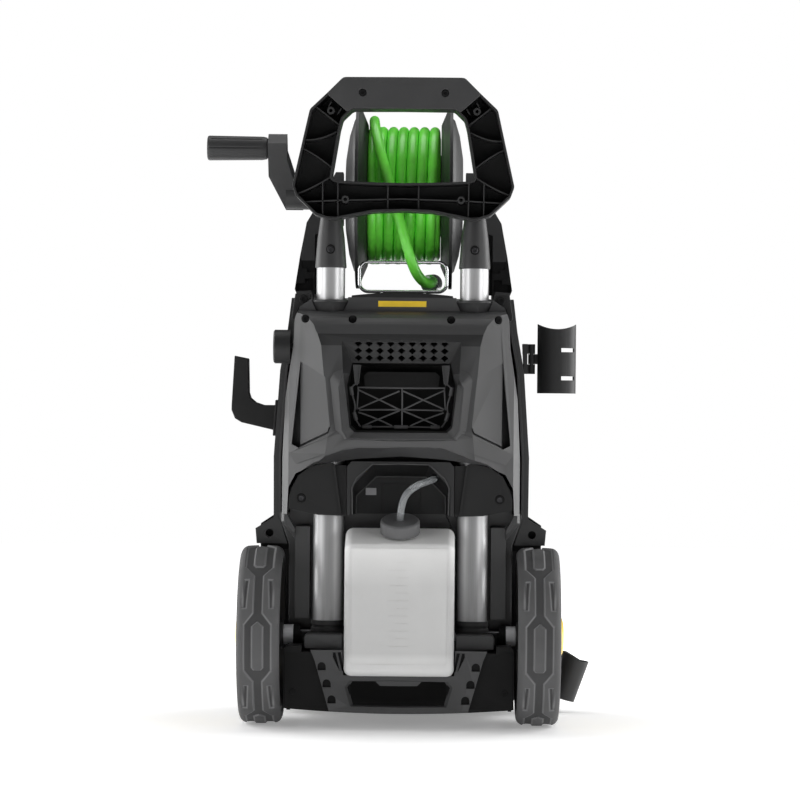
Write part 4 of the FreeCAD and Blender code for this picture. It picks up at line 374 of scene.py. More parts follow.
PAINTS = {
    "tyre": rubber_paint("tyre_rubber", (0.083, 0.083, 0.0845)),
    "black_plastic": dark_moulding("black_moulding", 0.02),
    "housing_plastic": moulded("housing_moulding", (0.029, 0.0291, 0.0298), 0.42, 1800, 0.04),
    "grey_plastic": dark_moulding("grey_moulding", 0.036, 0.5, 0.4),
    "yellow_plastic": yellow_gloss("yellow_gloss").material,
    "zinc_steel": metal("zinc_steel_finish", (0.58, 0.58, 0.6), 0.32),
    "dark_steel": metal("dark_steel_finish", (0.06, 0.06, 0.063), 0.4),
    "foot_rubber": rubber_paint("foot_rubber_finish", (0.02, 0.02, 0.02), 0.8),
    "tube_aluminium": tube_paint("tube_finish", 0.9),
    "net_rubber": rubber_paint("net_cord_finish", (0.06, 0.06, 0.0615), 0.6),
    "plate_metal": metal("plate_finish", (0.16, 0.16, 0.165), 0.45, (0.02, 1, 1), 1200),
    "hose_green": hose_paint(),
    "connector_chrome": metal("chrome_finish", (0.85, 0.86, 0.87), 0.14),
    "brass": metal("brass_finish", (0.72, 0.52, 0.22), 0.28),
    "bottle_plastic": bottle_paint(),
    "clear_tube": clear_paint(),
    "motor_steel": metal("motor_finish", (0.2, 0.21, 0.22), 0.5),
    "pump_aluminium": metal("casting_finish", (0.55, 0.56, 0.57), 0.5, scale=500, depth=0.05),
}
HOUSING = PAINTS["housing_plastic"]
# Darker and paler copies of the dark moulding, given to parts by how bright they should show: the three
# darker ones are painted shade, the paler one is painted light.
DEEP_SHADE = dark_moulding("deep_shade_moulding", 0.004, 0.6, 0.15)
SHADE = dark_moulding("shade_moulding", 0.0135, 0.5, 0.3)
PALE_LIT = dark_moulding("pale_lit_moulding", 0.027, 0.5, 0.4)
DUSK = dark_moulding("dusk_moulding", 0.0075, 0.5, 0.25)
# Parts painted other than by their slot: some in the shaded and lit copies above, the lower tubes in a
# painted-shade copy of the tube paint, the rest in their own colours.
TONES = {
    "gun_holster": SHADE, "holster_bracket": SHADE, "power_knob": SHADE, "bottle_hood": SHADE,
    "cable_hook": DUSK, "rating_plate": DUSK, "yellow_labels": label_paint(),
    "bottle_cap": dark_moulding("cap_moulding", 0.085),
    "axle_rings": dark_moulding("spacer_moulding", 0.55, 0.5),
    # A darker copy of the tube paint for the lower tubes: painted shade.
    "lower_tubes": tube_paint("lower_tube_painted_shade", 0.66),
}


def paint_nodes():
    slots = {part["node"]: part["material_slot"] for part in frame["record"]["subparts"]}
    for name, piece in nodes.items():
        for slot in piece.material_slots:
            slot.material = TONES.get(name, PAINTS[slots[name]])


# ---- pieces and smooth lines

def link_piece(name, data, slot, body):
    piece = placed(name, data)
    data.materials.append(PAINTS[slot])
    if body:
        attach(piece, body)
    return piece


def ease(piece, width, segments=2, angle=35):
    """Rounds a piece's sharp edges by width millimetres."""
    weld = piece.modifiers.new("weld", "WELD")
    weld.merge_threshold = WELD
    bevel = piece.modifiers.new("rounding", "BEVEL")
    bevel.width = width * MM
    bevel.segments = segments
    bevel.limit_method = "ANGLE"
    bevel.angle_limit = math.radians(angle)
    normals = piece.modifiers.new("shading", "WEIGHTED_NORMAL")
    normals.weight = 60


def settled(name, made, slot, body, width=0.6, angle=30, segments=2, paint=None):
    """Turns a loose solid into a piece with rounded edges, in its slot's paint unless another is given."""
    mesh = made.data
    bpy.data.objects.remove(made)
    mesh.name = name
    mesh.shade_smooth()
    piece = link_piece(name, mesh, slot, body)
    if paint:
        mesh.materials[0] = paint
    if width:
        ease(piece, width, segments, angle)
    else:
        mesh.set_sharp_from_angle(angle=math.radians(angle))
    return piece


def nurbs(name, routes, radius, sides=5, steps=8):
    """Smooth lines through control points, with the thickness of a cord."""
    data = bpy.data.curves.new(name, "CURVE")
    data.dimensions = "3D"
    data.bevel_depth = radius * MM
    data.bevel_resolution = sides
    data.resolution_u = steps
    data.use_fill_caps = True
    for route in routes:
        spline = data.splines.new("NURBS")
        spline.points.add(len(route) - 1)
        for control, point in zip(spline.points, route):
            control.co = (*point, 1)
        spline.order_u = 3
        spline.use_endpoint_u = True
    return data


def curve_mesh(data):
    """The mesh that a curve shows."""
    carrier = bpy.data.objects.new("line", data)
    mesh = bpy.data.meshes.new_from_object(carrier)
    bpy.data.objects.remove(carrier)
    return mesh


# ---- solids cut from one another

# Radius of the thin thread that a turned solid leaves open along its axis.
HAIR = 0.1


def shape(points, faces):
    """A loose solid of the given points, to be cut, joined or settled."""
    mesh = bpy.data.meshes.new("shape")
    mesh.from_pydata(points, [], faces)
    form = bmesh.new()
    form.from_mesh(mesh)
    bmesh.ops.recalc_face_normals(form, faces=form.faces)
    form.to_mesh(mesh)
    form.free()
    return placed("shape", mesh)


def skin(rings, count, closed=False):
    """Faces between neighbouring rings of count points each, and from the last to the first if closed."""
    faces = []
    for ring in range(rings if closed else rings - 1):
        low, high = ring * count, (ring + 1) % rings * count
        for n in range(count):
            after = (n + 1) % count
            faces.append((low + n, low + after, high + after, high + n))
    return faces


def loft(rings):
    """A solid skinned over rings of equally many points, capped at both ends."""
    count = len(rings[0])
    caps = [list(range(count)), [len(rings) * count - 1 - n for n in range(count)]]
    return shape([point for ring in rings for point in ring], caps + skin(len(rings), count))


def layered(*levels):
    """A solid skinned over levels of (outline, depth), each outline a list of (x, z) corners."""
    return loft([[at(x, depth, z) for x, z in outline] for outline, depth in levels])


def slab(outline, back, front):
    """An outline of (x, z) corners, thickened from one depth to another."""
    return layered((outline, back), (outline, front))


def oblong(left, low, right, high):
    return [(left, low), (right, low), (right, high), (left, high)]


def crowned(half, steps, z, rise):
    """Points across the machine, half wide, whose height changes by rise from the middle to the ends."""
    shares = [2 * n / steps - 1 for n in range(steps + 1)]
    return [(half * share, z + rise * share ** 2) for share in shares]


def both(half):
    """A right-hand half outline, top to bottom, closed with its mirror image."""
    return half + [(-x, z) for x, z in reversed(half) if x]


def sided(side, outline):
    return [(side * x, z) for x, z in outline]


def pair(outline, back, front):
    """A slab on each side of the machine."""
    return [slab(sided(side, outline), back, front) for side in (-1, 1)]


def circle(middle, turn, radius, along, corners):
    """Points round an axis, a distance along it; turn carries the z direction onto the axis."""
    angles = [2 * math.pi * n / corners for n in range(corners)]
    return [middle + turn @ Vector((radius * math.cos(a), radius * math.sin(a), along)) * MM for a in angles]


def turned(profile, start, axis, corners=64):
    """A solid of revolution; profile corners are (distance along the axis, radius) in millimetres."""
    turn = Vector(axis).to_track_quat("Z", "Y").to_matrix()
    points = []
    for along, radius in profile:
        points += circle(start, turn, radius, along, corners)
    return shape(points, skin(len(profile), corners, True))


def bar(start, end, radius, corners=24):
    """A round bar between two points."""
    turn = (end - start).to_track_quat("Z", "Y").to_matrix()
    return loft([circle(middle, turn, radius, 0, corners) for middle in (start, end)])


def bore(x, z, rear, front, radius, corners=24):
    """A round bar along the depth."""
    return bar(at(x, rear, z), at(x, front, z), radius, corners)


def round_tube(profile, side, corners=48, foot=0):
    """A solid of revolution round a handle tube's axis; profile corners are (height, radius)."""
    return turned(profile, at(side * TUBE_X, 0, foot), UPWARD, corners)


def tube_room(side, low, high, gap):
    """The room that a handle tube takes, with a gap round it."""
    return bar(at(side * TUBE_X, 0, low), at(side * TUBE_X, 0, high), TUBE_RADIUS + gap, 48)


def worked(base, tools, how):
    """Joins or cuts a solid with others, which are used up."""
    for tool in tools:
        change = base.modifiers.new("change", "BOOLEAN")
        change.object = tool
        change.operation = how
        change.solver = "EXACT"
    mesh = bpy.data.meshes.new_from_object(base.evaluated_get(bpy.context.evaluated_depsgraph_get()))
    base.modifiers.clear()
    base.data = mesh
    for tool in tools:
        bpy.data.objects.remove(tool)
    return base


def cut(base, *tools):
    return worked(base, tools, "DIFFERENCE")


def fuse(base, *tools):
    return worked(base, tools, "UNION")


def overlap(base, *tools):
    return worked(base, tools, "INTERSECT")


def node_solid(name):
    """A loose, closed copy of a carried-over part, to be cut or joined."""
    made = placed("shape", nodes[name].data.copy())
    made.data.transform(nodes[name].matrix_world)
    made.data.materials.clear()
    form = bmesh.new()
    form.from_mesh(made.data)
    bmesh.ops.remove_doubles(form, verts=form.verts, dist=WELD)
    form.to_mesh(made.data)
    form.free()
    return made


def gathered(shapes):
    """Several loose solids as one, left uncut."""
    form = bmesh.new()
    for made in shapes:
        form.from_mesh(made.data)
    for made in shapes[1:]:
        bpy.data.objects.remove(made)
    form.to_mesh(shapes[0].data)
    form.free()
    return shapes[0]


def corners_of(outline):
    """Each corner of a closed outline, between the one before and the one after it."""
    count = len(outline)
    return [[Vector(outline[(n + step) % count]) for step in (-1, 0, 1)] for n in range(count)]


def moved(outline, distance):
    """An outline whose every side is moved outward by a distance; inward when it is negative."""
    area = sum(a[0] * b[1] - b[0] * a[1] for a, b in zip(outline, outline[1:] + outline[:1]))
    way = distance if area > 0 else -distance
    result = []
    for before, here, after in corners_of(outline):
        first, second = (here - before).normalized(), (after - here).normalized()
        normals = Vector((first.y, -first.x)) + Vector((second.y, -second.x))
        result.append(tuple(here + normals * (2 * way / max(normals.length_squared, 1.0))))
    return result


def bowed(start, middle, end, steps=6):
    """Points along a shallow curve through three (x, z) points."""
    start, middle, end = Vector(start), Vector(middle), Vector(end)
    return arc(start, middle * 2 - (start + end) / 2, end, steps)


def arc(start, pull, end, steps):
    """Points along a curve from start to end that leans toward pull."""
    shares = [n / steps for n in range(steps + 1)]
    return [tuple(start.lerp(pull, share).lerp(pull.lerp(end, share), share)) for share in shares]


def rounded(outline, radius, steps=5):
    """An outline with its corners turned into arcs, smaller ones where its sides are short."""
    nearly_straight = math.radians(89)
    result = []
    for before, here, after in corners_of(outline):
        back, ahead = before - here, after - here
        half = back.angle(ahead) / 2
        if half > nearly_straight:
            result.append(tuple(here))
            continue
        run = min(radius / math.tan(half), back.length * 0.45, ahead.length * 0.45)
        result += arc(here + back.normalized() * run, here, here + ahead.normalized() * run, steps)
    return result


def ribbon(route, width, back, front):
    """An upright wall of the given width along a route of (x, z) points."""
    left, right = [], []
    for n, here in enumerate(route):
        before, after = Vector(route[max(0, n - 1)]), Vector(route[min(len(route) - 1, n + 1)])
        along = (after - before).normalized()
        across = Vector((-along.y, along.x)) * width / 2
        left.append(tuple(Vector(here) + across))
        right.append(tuple(Vector(here) - across))
    return slab(left + right[::-1], back, front)


def screw_head(x, back, z, radius=4.2):
    """A screw's head facing the rear, with a six-sided socket."""
    profile = [(-2, HAIR), (-2, radius), (1.0, radius), (1.6, radius - 0.7), (1.6, HAIR)]
    socket = bore(x, z, back - 0.4, back - 3, radius * 0.48, 6)
    return cut(turned(profile, at(x, back, z), REARWARD, 32), socket)


def screw_ring(x, back, z, radius):
    """A dark ring seated round a screw's head."""
    profile = [(0, radius), (0, radius + 1.5), (1.6, radius + 1.5), (2.2, radius + 1.0), (2.2, radius)]
    return turned(profile, at(x, back, z), REARWARD, 32)


# ---- hoses

HOSE = 12.0
TURNS = 7
LAYERS = 3
PER_TURN = 12
COIL_HALF = 36.3
FIRST_LAYER = 53.7
LAYER_STEP = 10.4
LAST_CLIMB = 12.8
COIL_END = 58
LEAD_RADIUS = 87.3
LEAD_STEP = 28


def round_reel(x, radius, angle):
    """A point at a distance and an angle from the reel's axis."""
    return at(x, REEL_BACK + radius * math.cos(angle), REEL_Z + radius * math.sin(angle))


def coil_points():
    """Turns wound to and fro in layers, whose last quarter turn climbs to meet the hose's loose end."""
    total = LAYERS * TURNS * PER_TURN
    last = PER_TURN / 4
    points = []
    for n in range(total + 1):
        turn = n / PER_TURN
        layer = min(int(turn / TURNS), LAYERS - 1)
        along = min(1.0, (turn - layer * TURNS) / (TURNS - 1))
        climb = max(0.0, turn - layer * TURNS - (TURNS - 1))
        radius = FIRST_LAYER + LAYER_STEP * (layer + (climb if layer < LAYERS - 1 else 0.0))
        radius += LAST_CLIMB * max(0.0, (n - total + last) / last)
        side = COIL_HALF * (1 if layer % 2 else -1)
        angle = math.radians(COIL_END) + 2 * math.pi * (n - total) / PER_TURN
        points.append(round_reel(-side * (1 - 2 * along), radius / math.cos(math.pi / PER_TURN), angle))
    return points


def wound_hose():
    points = coil_points()
    piece = link_piece("hose_turns", nurbs("hose_turns", [points], HOSE / 2), "hose_green", "reel")
    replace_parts(piece, "hose_coil")
    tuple(points[0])


def lead_points():
    """Over the rear of the coil, slanting across it, and down to the connector in the wire guide."""
    radius = LEAD_RADIUS / math.cos(math.radians(LEAD_STEP / 2))
    points = [round_reel(x, radius, math.radians(COIL_END + LEAD_STEP * n))
              for n, x in enumerate((-36.3, -36, -35, -30, -19))]
    hanging = ((-6, -29, 575), (4, -27.5, 540), (13, -18, 512), (25, 2, 498.5), (30, 27, 500))
    return points + [Vector(p) * MM for p in hanging]


def loose_hose():
    points = lead_points()
    piece = link_piece("hose_end", nurbs("hose_end", [points], HOSE / 2), "hose_green", "machine")
    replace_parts(piece, "hose_lead")
    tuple(points[0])


def suction_hose():
    """The clear tube, straight out of the tilted cap and up into the hood."""
    lean = math.radians(21)
    up = Vector((0, -math.sin(lean), math.cos(lean)))
    start = Vector((0, -102, 215.9)) + up * 9.6
    rest = [Vector(p) for p in ((12, -114, 268), (38, -97, 277), (38.4, -70, 277), (38, -43, 277))]
    route = [p * MM for p in [start, start + up * 26] + rest]
    data = nurbs("suction_line", [route], 3.9)
    bare = data.copy()
    bare.bevel_depth = 0
    line = [Vector(v.co) for v in curve_mesh(bare).vertices]
    mesh = curve_mesh(data)
    mesh.shade_smooth()
    piece = link_piece("suction_hose", mesh, "clear_tube", None)
    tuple(route[1])
    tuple(route[4])
    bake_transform(piece)
    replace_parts(piece, "suction_tube")
    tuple(route[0])


# ---- wheels

TYRE_MID = 154.75
TYRE_HALF = 23.75
TYRE_AROUND = 720
SHOULDER = 9.0
GROOVE_DEPTH = 1.8
TREAD_REPEAT = 72.0
# The tread's channel, the raised island in it and the narrow slot, by degrees round the tyre.
CHANNEL = ((10.3, 15.0), (17.8, 5.0), (44.7, 5.0), (52.5, 15.0), (82.3, 15.0))
ISLAND = ((52.5, 3.5), (54.5, 6.1), (81.2, 6.1), (84.3, 0.0))
SLOT = (21.0, 41.4)


def along_line(knots, place):
    """Height of a broken line at a place."""
    for (start, low), (end, high) in zip(knots, knots[1:]):
        if start <= place <= end:
            return low + (high - low) * (place - start) / (end - start)
    return None


def tread_depth(angle, across):
    """Signed distance in millimetres into the sunk part of the tread, positive inside it."""
    per_degree = math.radians(WHEEL_Z)
    place = (angle - CHANNEL[0][0]) % TREAD_REPEAT + CHANNEL[0][0]
    side = abs(across)
    sloping = CHANNEL[0][0] < place < CHANNEL[1][0] or CHANNEL[2][0] < place < CHANNEL[3][0]
    channel = (along_line(CHANNEL, place) - side) * (0.8 if sloping else 1.0)
    for turn in (place, place + TREAD_REPEAT):
        raised = along_line(ISLAND, turn)
        if raised is not None:
            ends = min(turn - ISLAND[0][0], ISLAND[-1][0] - turn) * per_degree
            channel = min(channel, -min(raised - side, ends))
    middle = 15.0 - 2.0 * (place - SLOT[0]) / (SLOT[1] - SLOT[0])
    ends = min(place - SLOT[0], SLOT[1] - place) * per_degree
    return max(channel, min(2.2 - abs(side - middle), ends))


def tyre_profile():
    """Stations across the tyre as (distance from its middle plane, radius), from one bead to the other."""
    edge = [(-TYRE_HALF + 2.0, 86.0), (-TYRE_HALF + 0.6, 86.6), (-TYRE_HALF, 88.5)]
    for step in range(8):
        angle = math.pi / 2 * step / 7
        edge.append((-TYRE_HALF + SHOULDER * (1 - math.cos(angle)), 99.4 - SHOULDER * (1 - math.sin(angle))))
    inner = TYRE_HALF - SHOULDER
    crown = crowned(inner, 38, WHEEL_Z, -0.6)[1:-1]
    return edge + crown + [(-across, radius) for across, radius in reversed(edge)]


def tyre(word, side):
    """A tyre with its tread sunk into it; each point keeps how near an edge it is and how far it is sunk, for
    the painted highlight and painted shade of its rubber.
    """
    lip, slope, worn_and_lit, tread_half = 0.4, 0.9, 0.75, 17
    stations = tyre_profile()
    points, light, shade = [], [], []
    for n in range(TYRE_AROUND):
        angle = 360.0 * n / TYRE_AROUND
        back, up = -math.cos(math.radians(angle)), math.sin(math.radians(angle))
        for across, radius in stations:
            inside = tread_depth(angle, across)
            sunk = min(1.0, max(0.0, (inside + lip) / slope))
            reach = radius - GROOVE_DEPTH * sunk * sunk * (3 - 2 * sunk)
            # The painted highlight's share, by nearness to the tread's edge.
            light.append(math.exp(-(inside / worn_and_lit) ** 2) if abs(across) < tread_half else 0.0)
            shade.append(sunk)
            points.append(at(side * TYRE_MID + across, reach * back, WHEEL_Z + reach * up))
    made = shape(points, skin(TYRE_AROUND, len(stations), True))
    piece = settled("tread_" + word, made, "tyre", "wheel_" + word, 0, 50)
    for name, values in (("edge", light), ("sunk", shade)):
        piece.data.attributes.new(name, "FLOAT", "POINT").data.foreach_set("value", values)
    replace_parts(piece, "tyre_" + word)


def hub_dome(word, side):
    """A low dome on the flat face of a hub cap, which just shows past the tyre from behind."""
    face, reach, rise, steps = 181.5, 22.5, 3.4, 12
    crown = [(rise * (1 - (n / steps) ** 4), reach * n / steps) for n in range(steps, 0, -1)]
    profile = [(-0.5, HAIR), (-0.5, reach)] + crown + [(rise, HAIR)]
    dome = turned(profile, at(side * face, 0, WHEEL_Z), (side, 0, 0))
    settled("hub_dome_" + word, dome, "yellow_plastic", "wheel_" + word, 0)


def wheels():
    for make in (tyre, hub_dome):
        for word, side in SIDES:
            make(word, side)


# ---- rear cover

SPLIT = 25.0
COVER_WALL = 3.0
COVER_TOP = 480
COVER_FOOT = 236
RECESS_FRONT = 20.0
REST_FACE = RECESS_FRONT - 18
POCKET = [(112.9, 407), (114.3, 311.2), (80.5, 327.6), (78.6, 334.3), (84.4, 390)]
POCKET_SIDE = [(112.9, 406), (122.4, 314.6), (113.4, 310.2), (112.4, 316)]
POCKET_FOOT = [(114.5, 310.5), (80, 327.3), (78.3, 334.5), (79.6, 334.5), (81.4, 329.2), (114.5, 313.2)]
POCKET_BACKING = [(116, 410), (126, 312), (114, 306), (76, 324), (74, 333), (81, 394)]
STRIP = [(126, 304.5), (61, 330.5), (42, 321), (48, 317.5), (117, 293)]
SUNK_SCREWS = ((107.7, -35, 454.8), (54.8, -38, 454.6))
OUTER_SCREWS = ((111, -9, 477.5, 4.8), (117.5, -57.5, 41, 3.6))
VENT_TOP = Vector((0, -57, 432))
VENT_FALL = Vector((0, 21, -26))


def cover_rings(inset):
    """The cover seen from behind at three depths; its arch runs higher at the rear."""
    half = [(0, COVER_TOP), (99, COVER_TOP), (115, 469), (120, 455), (121.5, 424), (130.5, 366), (133.7, 300)]
    outer = [(max(0, x - inset), z - (inset if z > 460 else 0)) for x, z in half]
    ends = [(133.7, COVER_FOOT), (127.5, COVER_FOOT)]
    arch = ends + [(126, 266), (117.4, 282), (94.4, 292.8), (47, 299), (0, 302)]
    rear_arch = ends + [(126, 274), (117, 294), (103.9, 298.8), (47.2, 318.3), (0, 318.3)]
    rings = []
    for depth, low in ((-66, rear_arch), (-34, arch), (SPLIT, arch)):
        inner = [(max(0, x - (inset if x > 130 else 0)), z + inset) for x, z in low]
        rings.append([at(x, depth, z) for x, z in both(outer + inner)])
    return rings


def cover_side(inset):
    """The cover seen from the side, as (depth, z)."""
    line = ((-14, COVER_TOP, -1), (-14, 465, -0.5), (-32, 461, -0.5), (-42, 456, -0.5), (-49, 448, 0),
            (-53, 438, 0), (-55.5, 425, 0), (-58, 330, 0), (-42, COVER_FOOT, 1))
    rear = [(depth + inset, z + inset * share) for depth, z, share in line]
    return [(SPLIT + 1, COVER_TOP - inset)] + rear + [(SPLIT + 1, COVER_FOOT + inset)]


def cover_plan(crease, inset):
    """The cover seen from above; its flat face ends at a crease on each side."""
    edge = 134.7 - inset
    half = [(crease, -59 + inset), (126 - inset, -20 + inset / 2), (edge, 0), (edge, SPLIT + 1)]
    return both(half)


def cover_solid(inset):
    body = loft(cover_rings(inset))
    side = loft([[at(x, depth, z) for depth, z in cover_side(inset)] for x in (-140, 140)])
    levels = ((230, 72), (486, 88))
    plan = loft([[at(x, depth, z) for x, depth in cover_plan(crease, inset)] for z, crease in levels])
    return overlap(body, side, plan)


def recess_solid(grow=0.0):
    """The storage recess: a chamfered mouth, walls that slant in, and a straight well."""
    rear = [(0, 434), (69, 434), (65.5, 397), (70.5, 377), (66.8, 330), (61, 319), (0, 318)]
    mouth = [(0, 432), (67.3, 431.7), (64.5, 394.5), (62.8, 382.6), (57, 334.5), (51.5, 328.8), (0, 328.6)]
    well = [(0, 406), (54.6, 406), (57.5, 394), (60.5, 381), (55.5, 336.5), (50, 331), (0, 331)]
    floor = [(0, 404), (54, 404), (57, 394), (59.5, 381), (55, 337), (49.5, 331.5), (0, 331.5)]
    levels = []
    for half, depth in ((rear, -64), (mouth, -56.5), (well, -36), (floor, RECESS_FRONT + grow)):
        wider = [(x + grow if x else 0, z + grow * ((z > 395) - (z < 333))) for x, z in half]
        levels.append((both(wider), depth))
    return layered(*levels)


def bezel():
    """A raised frame round the lower part of the recess, with sloping flanks."""
    foot = both([(0, 401), (60, 400.5), (75, 395), (78.8, 387), (75.4, 331), (63.4, 320.5), (0, 319)])
    crown = both([(0, 385), (58, 385), (66.5, 383.5), (69.5, 379), (65.6, 331.5), (60, 321.8), (0, 320.6)])
    return layered((foot, -50), (foot, -56.5), (crown, -61.4))


def facet_pocket(side, outline, sunk, slope=0.0):
    """A cutter over a side facet whose floor lies below it by sunk, and deeper by slope toward its foot."""
    floor = []
    for x, z in outline:
        facet = -57.5 + 0.84 * (x - 80)
        floor.append(at(side * x, facet + sunk + slope * (407 - z), z))
    return loft([[at(side * x, -80, z) for x, z in outline], floor])


def vent_tools():
    """Three rows of nine diamond holes, square to the slanting wall over the recess."""
    spacing = 12.0
    lean = Vector((0, -VENT_FALL.z, VENT_FALL.y)).normalized() * MM
    across = Vector((4.5, 0, 0)) * MM
    down = VENT_FALL.normalized() * 4.6 * MM
    tools = []
    for row in range(3):
        middle = VENT_TOP + VENT_FALL * ((row + 0.62) / 3.3)
        for column in range(-4, 5):
            centre = at(column * spacing, middle.y, middle.z)
            ring = [centre + across, centre + down, centre - across, centre - down]
            tools.append(loft([[p - lean * 2 for p in ring], [p + lean * 2.2 for p in ring]]))
    return tools


def cover_tools():
    """What passes through the cover: tubes, collars, the switch knob's shaft and four screw seats."""
    funnel = [(0, HAIR), (0, 18.2), (18, 24.6), (40, 24.6), (40, HAIR)]
    tools = []
    for side in (-1, 1):
        tools += [tube_room(side, 230, 470, 0.4), round_tube(funnel, side, foot=457)]
        tools += [bore(side * x, z, -70, back + 2, 4.7) for x, back, z in SUNK_SCREWS]
    return tools + [bar(at(-140, -2, 424), at(-100, -2, 424), 5)]


def cover_body():
    """The hollow cover with its bezel, strips, side pockets, recess and holes."""
    outer = fuse(cover_solid(0), bezel())
    backing = [recess_solid(COVER_WALL)] + pair(POCKET_BACKING, -64, -6)
    pockets = []
    for side in (-1, 1):
        outer = fuse(outer, overlap(slab(sided(side, STRIP), -64, -12), cover_solid(-1.0)))
        pockets += [facet_pocket(side, POCKET, 0.0, 0.05), facet_pocket(side, POCKET_SIDE, 13.0),
                    facet_pocket(side, POCKET_FOOT, 10.0)]
    body = cut(outer, cut(cover_solid(COVER_WALL), *backing))
    body = cut(body, recess_solid(), *pockets)
    body = cut(body, *cover_tools())
    body = cut(body, *vent_tools())
    rest = both([(0, 396.5), (38, 396.5), (43, 392), (41, 377), (0, 377)])
    return fuse(body, slab(rest, REST_FACE, RECESS_FRONT + 1))


def cover_painted_shade(x, depth, z):
    """A face's paint by number: 0 the cover's own, then painted shade: 1 for the well, 2 for its back plate,
    3 for the vent wall.
    """
    if abs(x) < 60 and 331 < z < 407 and depth > -36.5:
        return 2 if abs(depth - REST_FACE) < 1 else 1
    if abs(x) < 66 and 405 < z < 432.5 and -57 < depth < -35:
        return 3
    return 0


def rear_cover():
    piece = settled("cover_shell", cover_body(), "housing_plastic", "machine", 0.9, 20, 3)
    # The well, its back plate and the vent wall get darker copies of the moulding: painted shade.
    for paint in (DEEP_SHADE, DUSK, SHADE):
        piece.data.materials.append(paint)
    for face in piece.data.polygons:
        face.material_index = cover_painted_shade(*(face.center / MM - Vector((0, AXLE_Y, 0))))
    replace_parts(piece, "rear_cover", "vent_grille")


def cover_screws():
    """The cover's screws, and one in each lower corner of the chassis."""
    heads = []
    for side in (-1, 1):
        heads += [screw_head(side * x, *rest) for x, *rest in SUNK_SCREWS + OUTER_SCREWS]
    # Screw heads in the darkest moulding: painted shade.
    settled("cover_screws", gathered(heads), "dark_steel", "machine", 0.2, paint=DEEP_SHADE)


def brow_band():
    """Strip between the handle tubes whose top rises to the middle, and the corners outside the tubes."""
    top = crowned(57, 12, 485.5, -3.5)
    corner = [(104, 484), (120.5, 484), (124.5, 456), (121, 454), (116, 468), (104, 470)]
    parts = [slab(top + [(57, 478), (-57, 478)], -13.6, 10)] + pair(corner, -8, 20)
    settled("brow_band", gathered(parts), "housing_plastic", "machine", 0.8, paint=DUSK)


def cover_feet():
    """Slanting ends of the cover's sides, which sweep in below it toward the tubes."""
    outline = [(134.5, 238), (134.5, 226.5), (119, 207.5), (118, 219.5), (130.3, 240)]
    crest = [(131.6, 238), (131.2, 228), (119.6, 213.5), (118.6, 218.8), (129.9, 239.5)]
    feet = []
    for side in (-1, 1):
        wide, narrow = sided(side, outline), sided(side, crest)
        feet.append(layered((wide, 6), (wide, 3.5), (narrow, -1)))
    settled("cover_feet", gathered(feet), "housing_plastic", "machine", 0.6)


# ---- storage net

NET_BACK = -33.4


def net_fins():
    """Tapered straps with beaded edges beside the net's upper corners."""
    outline = [(54, 404), (45.2, 404), (47.6, 384), (49.5, 380.5), (51.5, 384)]
    edges = ([(53.6, 404), (51.4, 383)], [(45.7, 404), (47.9, 383)])
    for word, side in SIDES:
        parts = [slab(sided(side, outline), -35.5, -32)]
        parts += [ribbon(sided(side, line), 1.3, -37.2, -34) for line in edges]
        settled("net_fin_" + word, gathered(parts), "housing_plastic", "machine", 0.3)


def net_line(name, routes, radius):
    """Cords along routes of (x, depth, z) points, as one piece."""
    data = nurbs(name, [[at(*point) for point in route] for route in routes], radius, 3, 6)
    for spline in data.splines:
        spline.order_u = min(4, len(spline.points))
    return link_piece(name, data, "net_rubber", "machine")


def net_routes():
    """Three cords across, one down the middle, and on each side four crossing ones, a rim and an upright."""
    levels = ((49, 378.8, 16, 378.2), (47, 353.5, 16, 354.3), (44, 334.6, 16, 335.2))
    routes = [[(-end, NET_BACK, z), (-mid, NET_BACK, height), (mid, NET_BACK, height), (end, NET_BACK, z)]
              for end, z, mid, height in levels]
    routes.append([(x, NET_BACK, z) for x, z in ((0.8, 378.6), (1.6, 362), (0.6, 348), (1.2, 333.5))])
    halves = (((48, 0.9, 376), (24, 0.9, 365), (1.5, 0.9, 354)),
              ((48, 0.9, 355), (24, 1.7, 365.6), (2, 0.9, 375)),
              ((47.5, 0.9, 351), (26, 0.9, 344), (10, 0.9, 336)),
              ((42, 0.9, 336), (22, 1.7, 345), (2, 0.9, 353)),
              ((50, 0, 383), (56.6, 2, 380.5), (55.4, 2, 371), (51.6, 1, 361), (51.3, 1, 354), (53, 1, 350),
               (50.4, 1, 341), (45, 1, 334.6)),
              ((48, 0, 379), (48.6, 0, 366), (49.5, 0, 354)))
    for side in (-1, 1):
        routes += [[(side * x, NET_BACK - lift, z) for x, lift, z in half] for half in halves]
    return routes


def storage_net():
    """Elastic cords across the recess with short sleeves where they are joined."""
    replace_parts(net_line("net_cords", net_routes(), 0.98), "storage_net")
    lengths = ((-38, 5.1), (0, 7.6), (38, 5.1))
    sleeves = [[(x - half, -34.4, 334.8), (x + half, -34.4, 334.8)] for x, half in lengths]
    for side in (-1, 1):
        sleeves.append([(side * 56.5, -35.6, 379.5), (side * 54.9, -35.6, 370)])
        sleeves.append([(side * 52.7, -34.6, 351), (side * 50.0, -34.6, 342)])
    net_line("net_sleeves", sleeves, 2.3)


# ---- grip, sleeves and collars

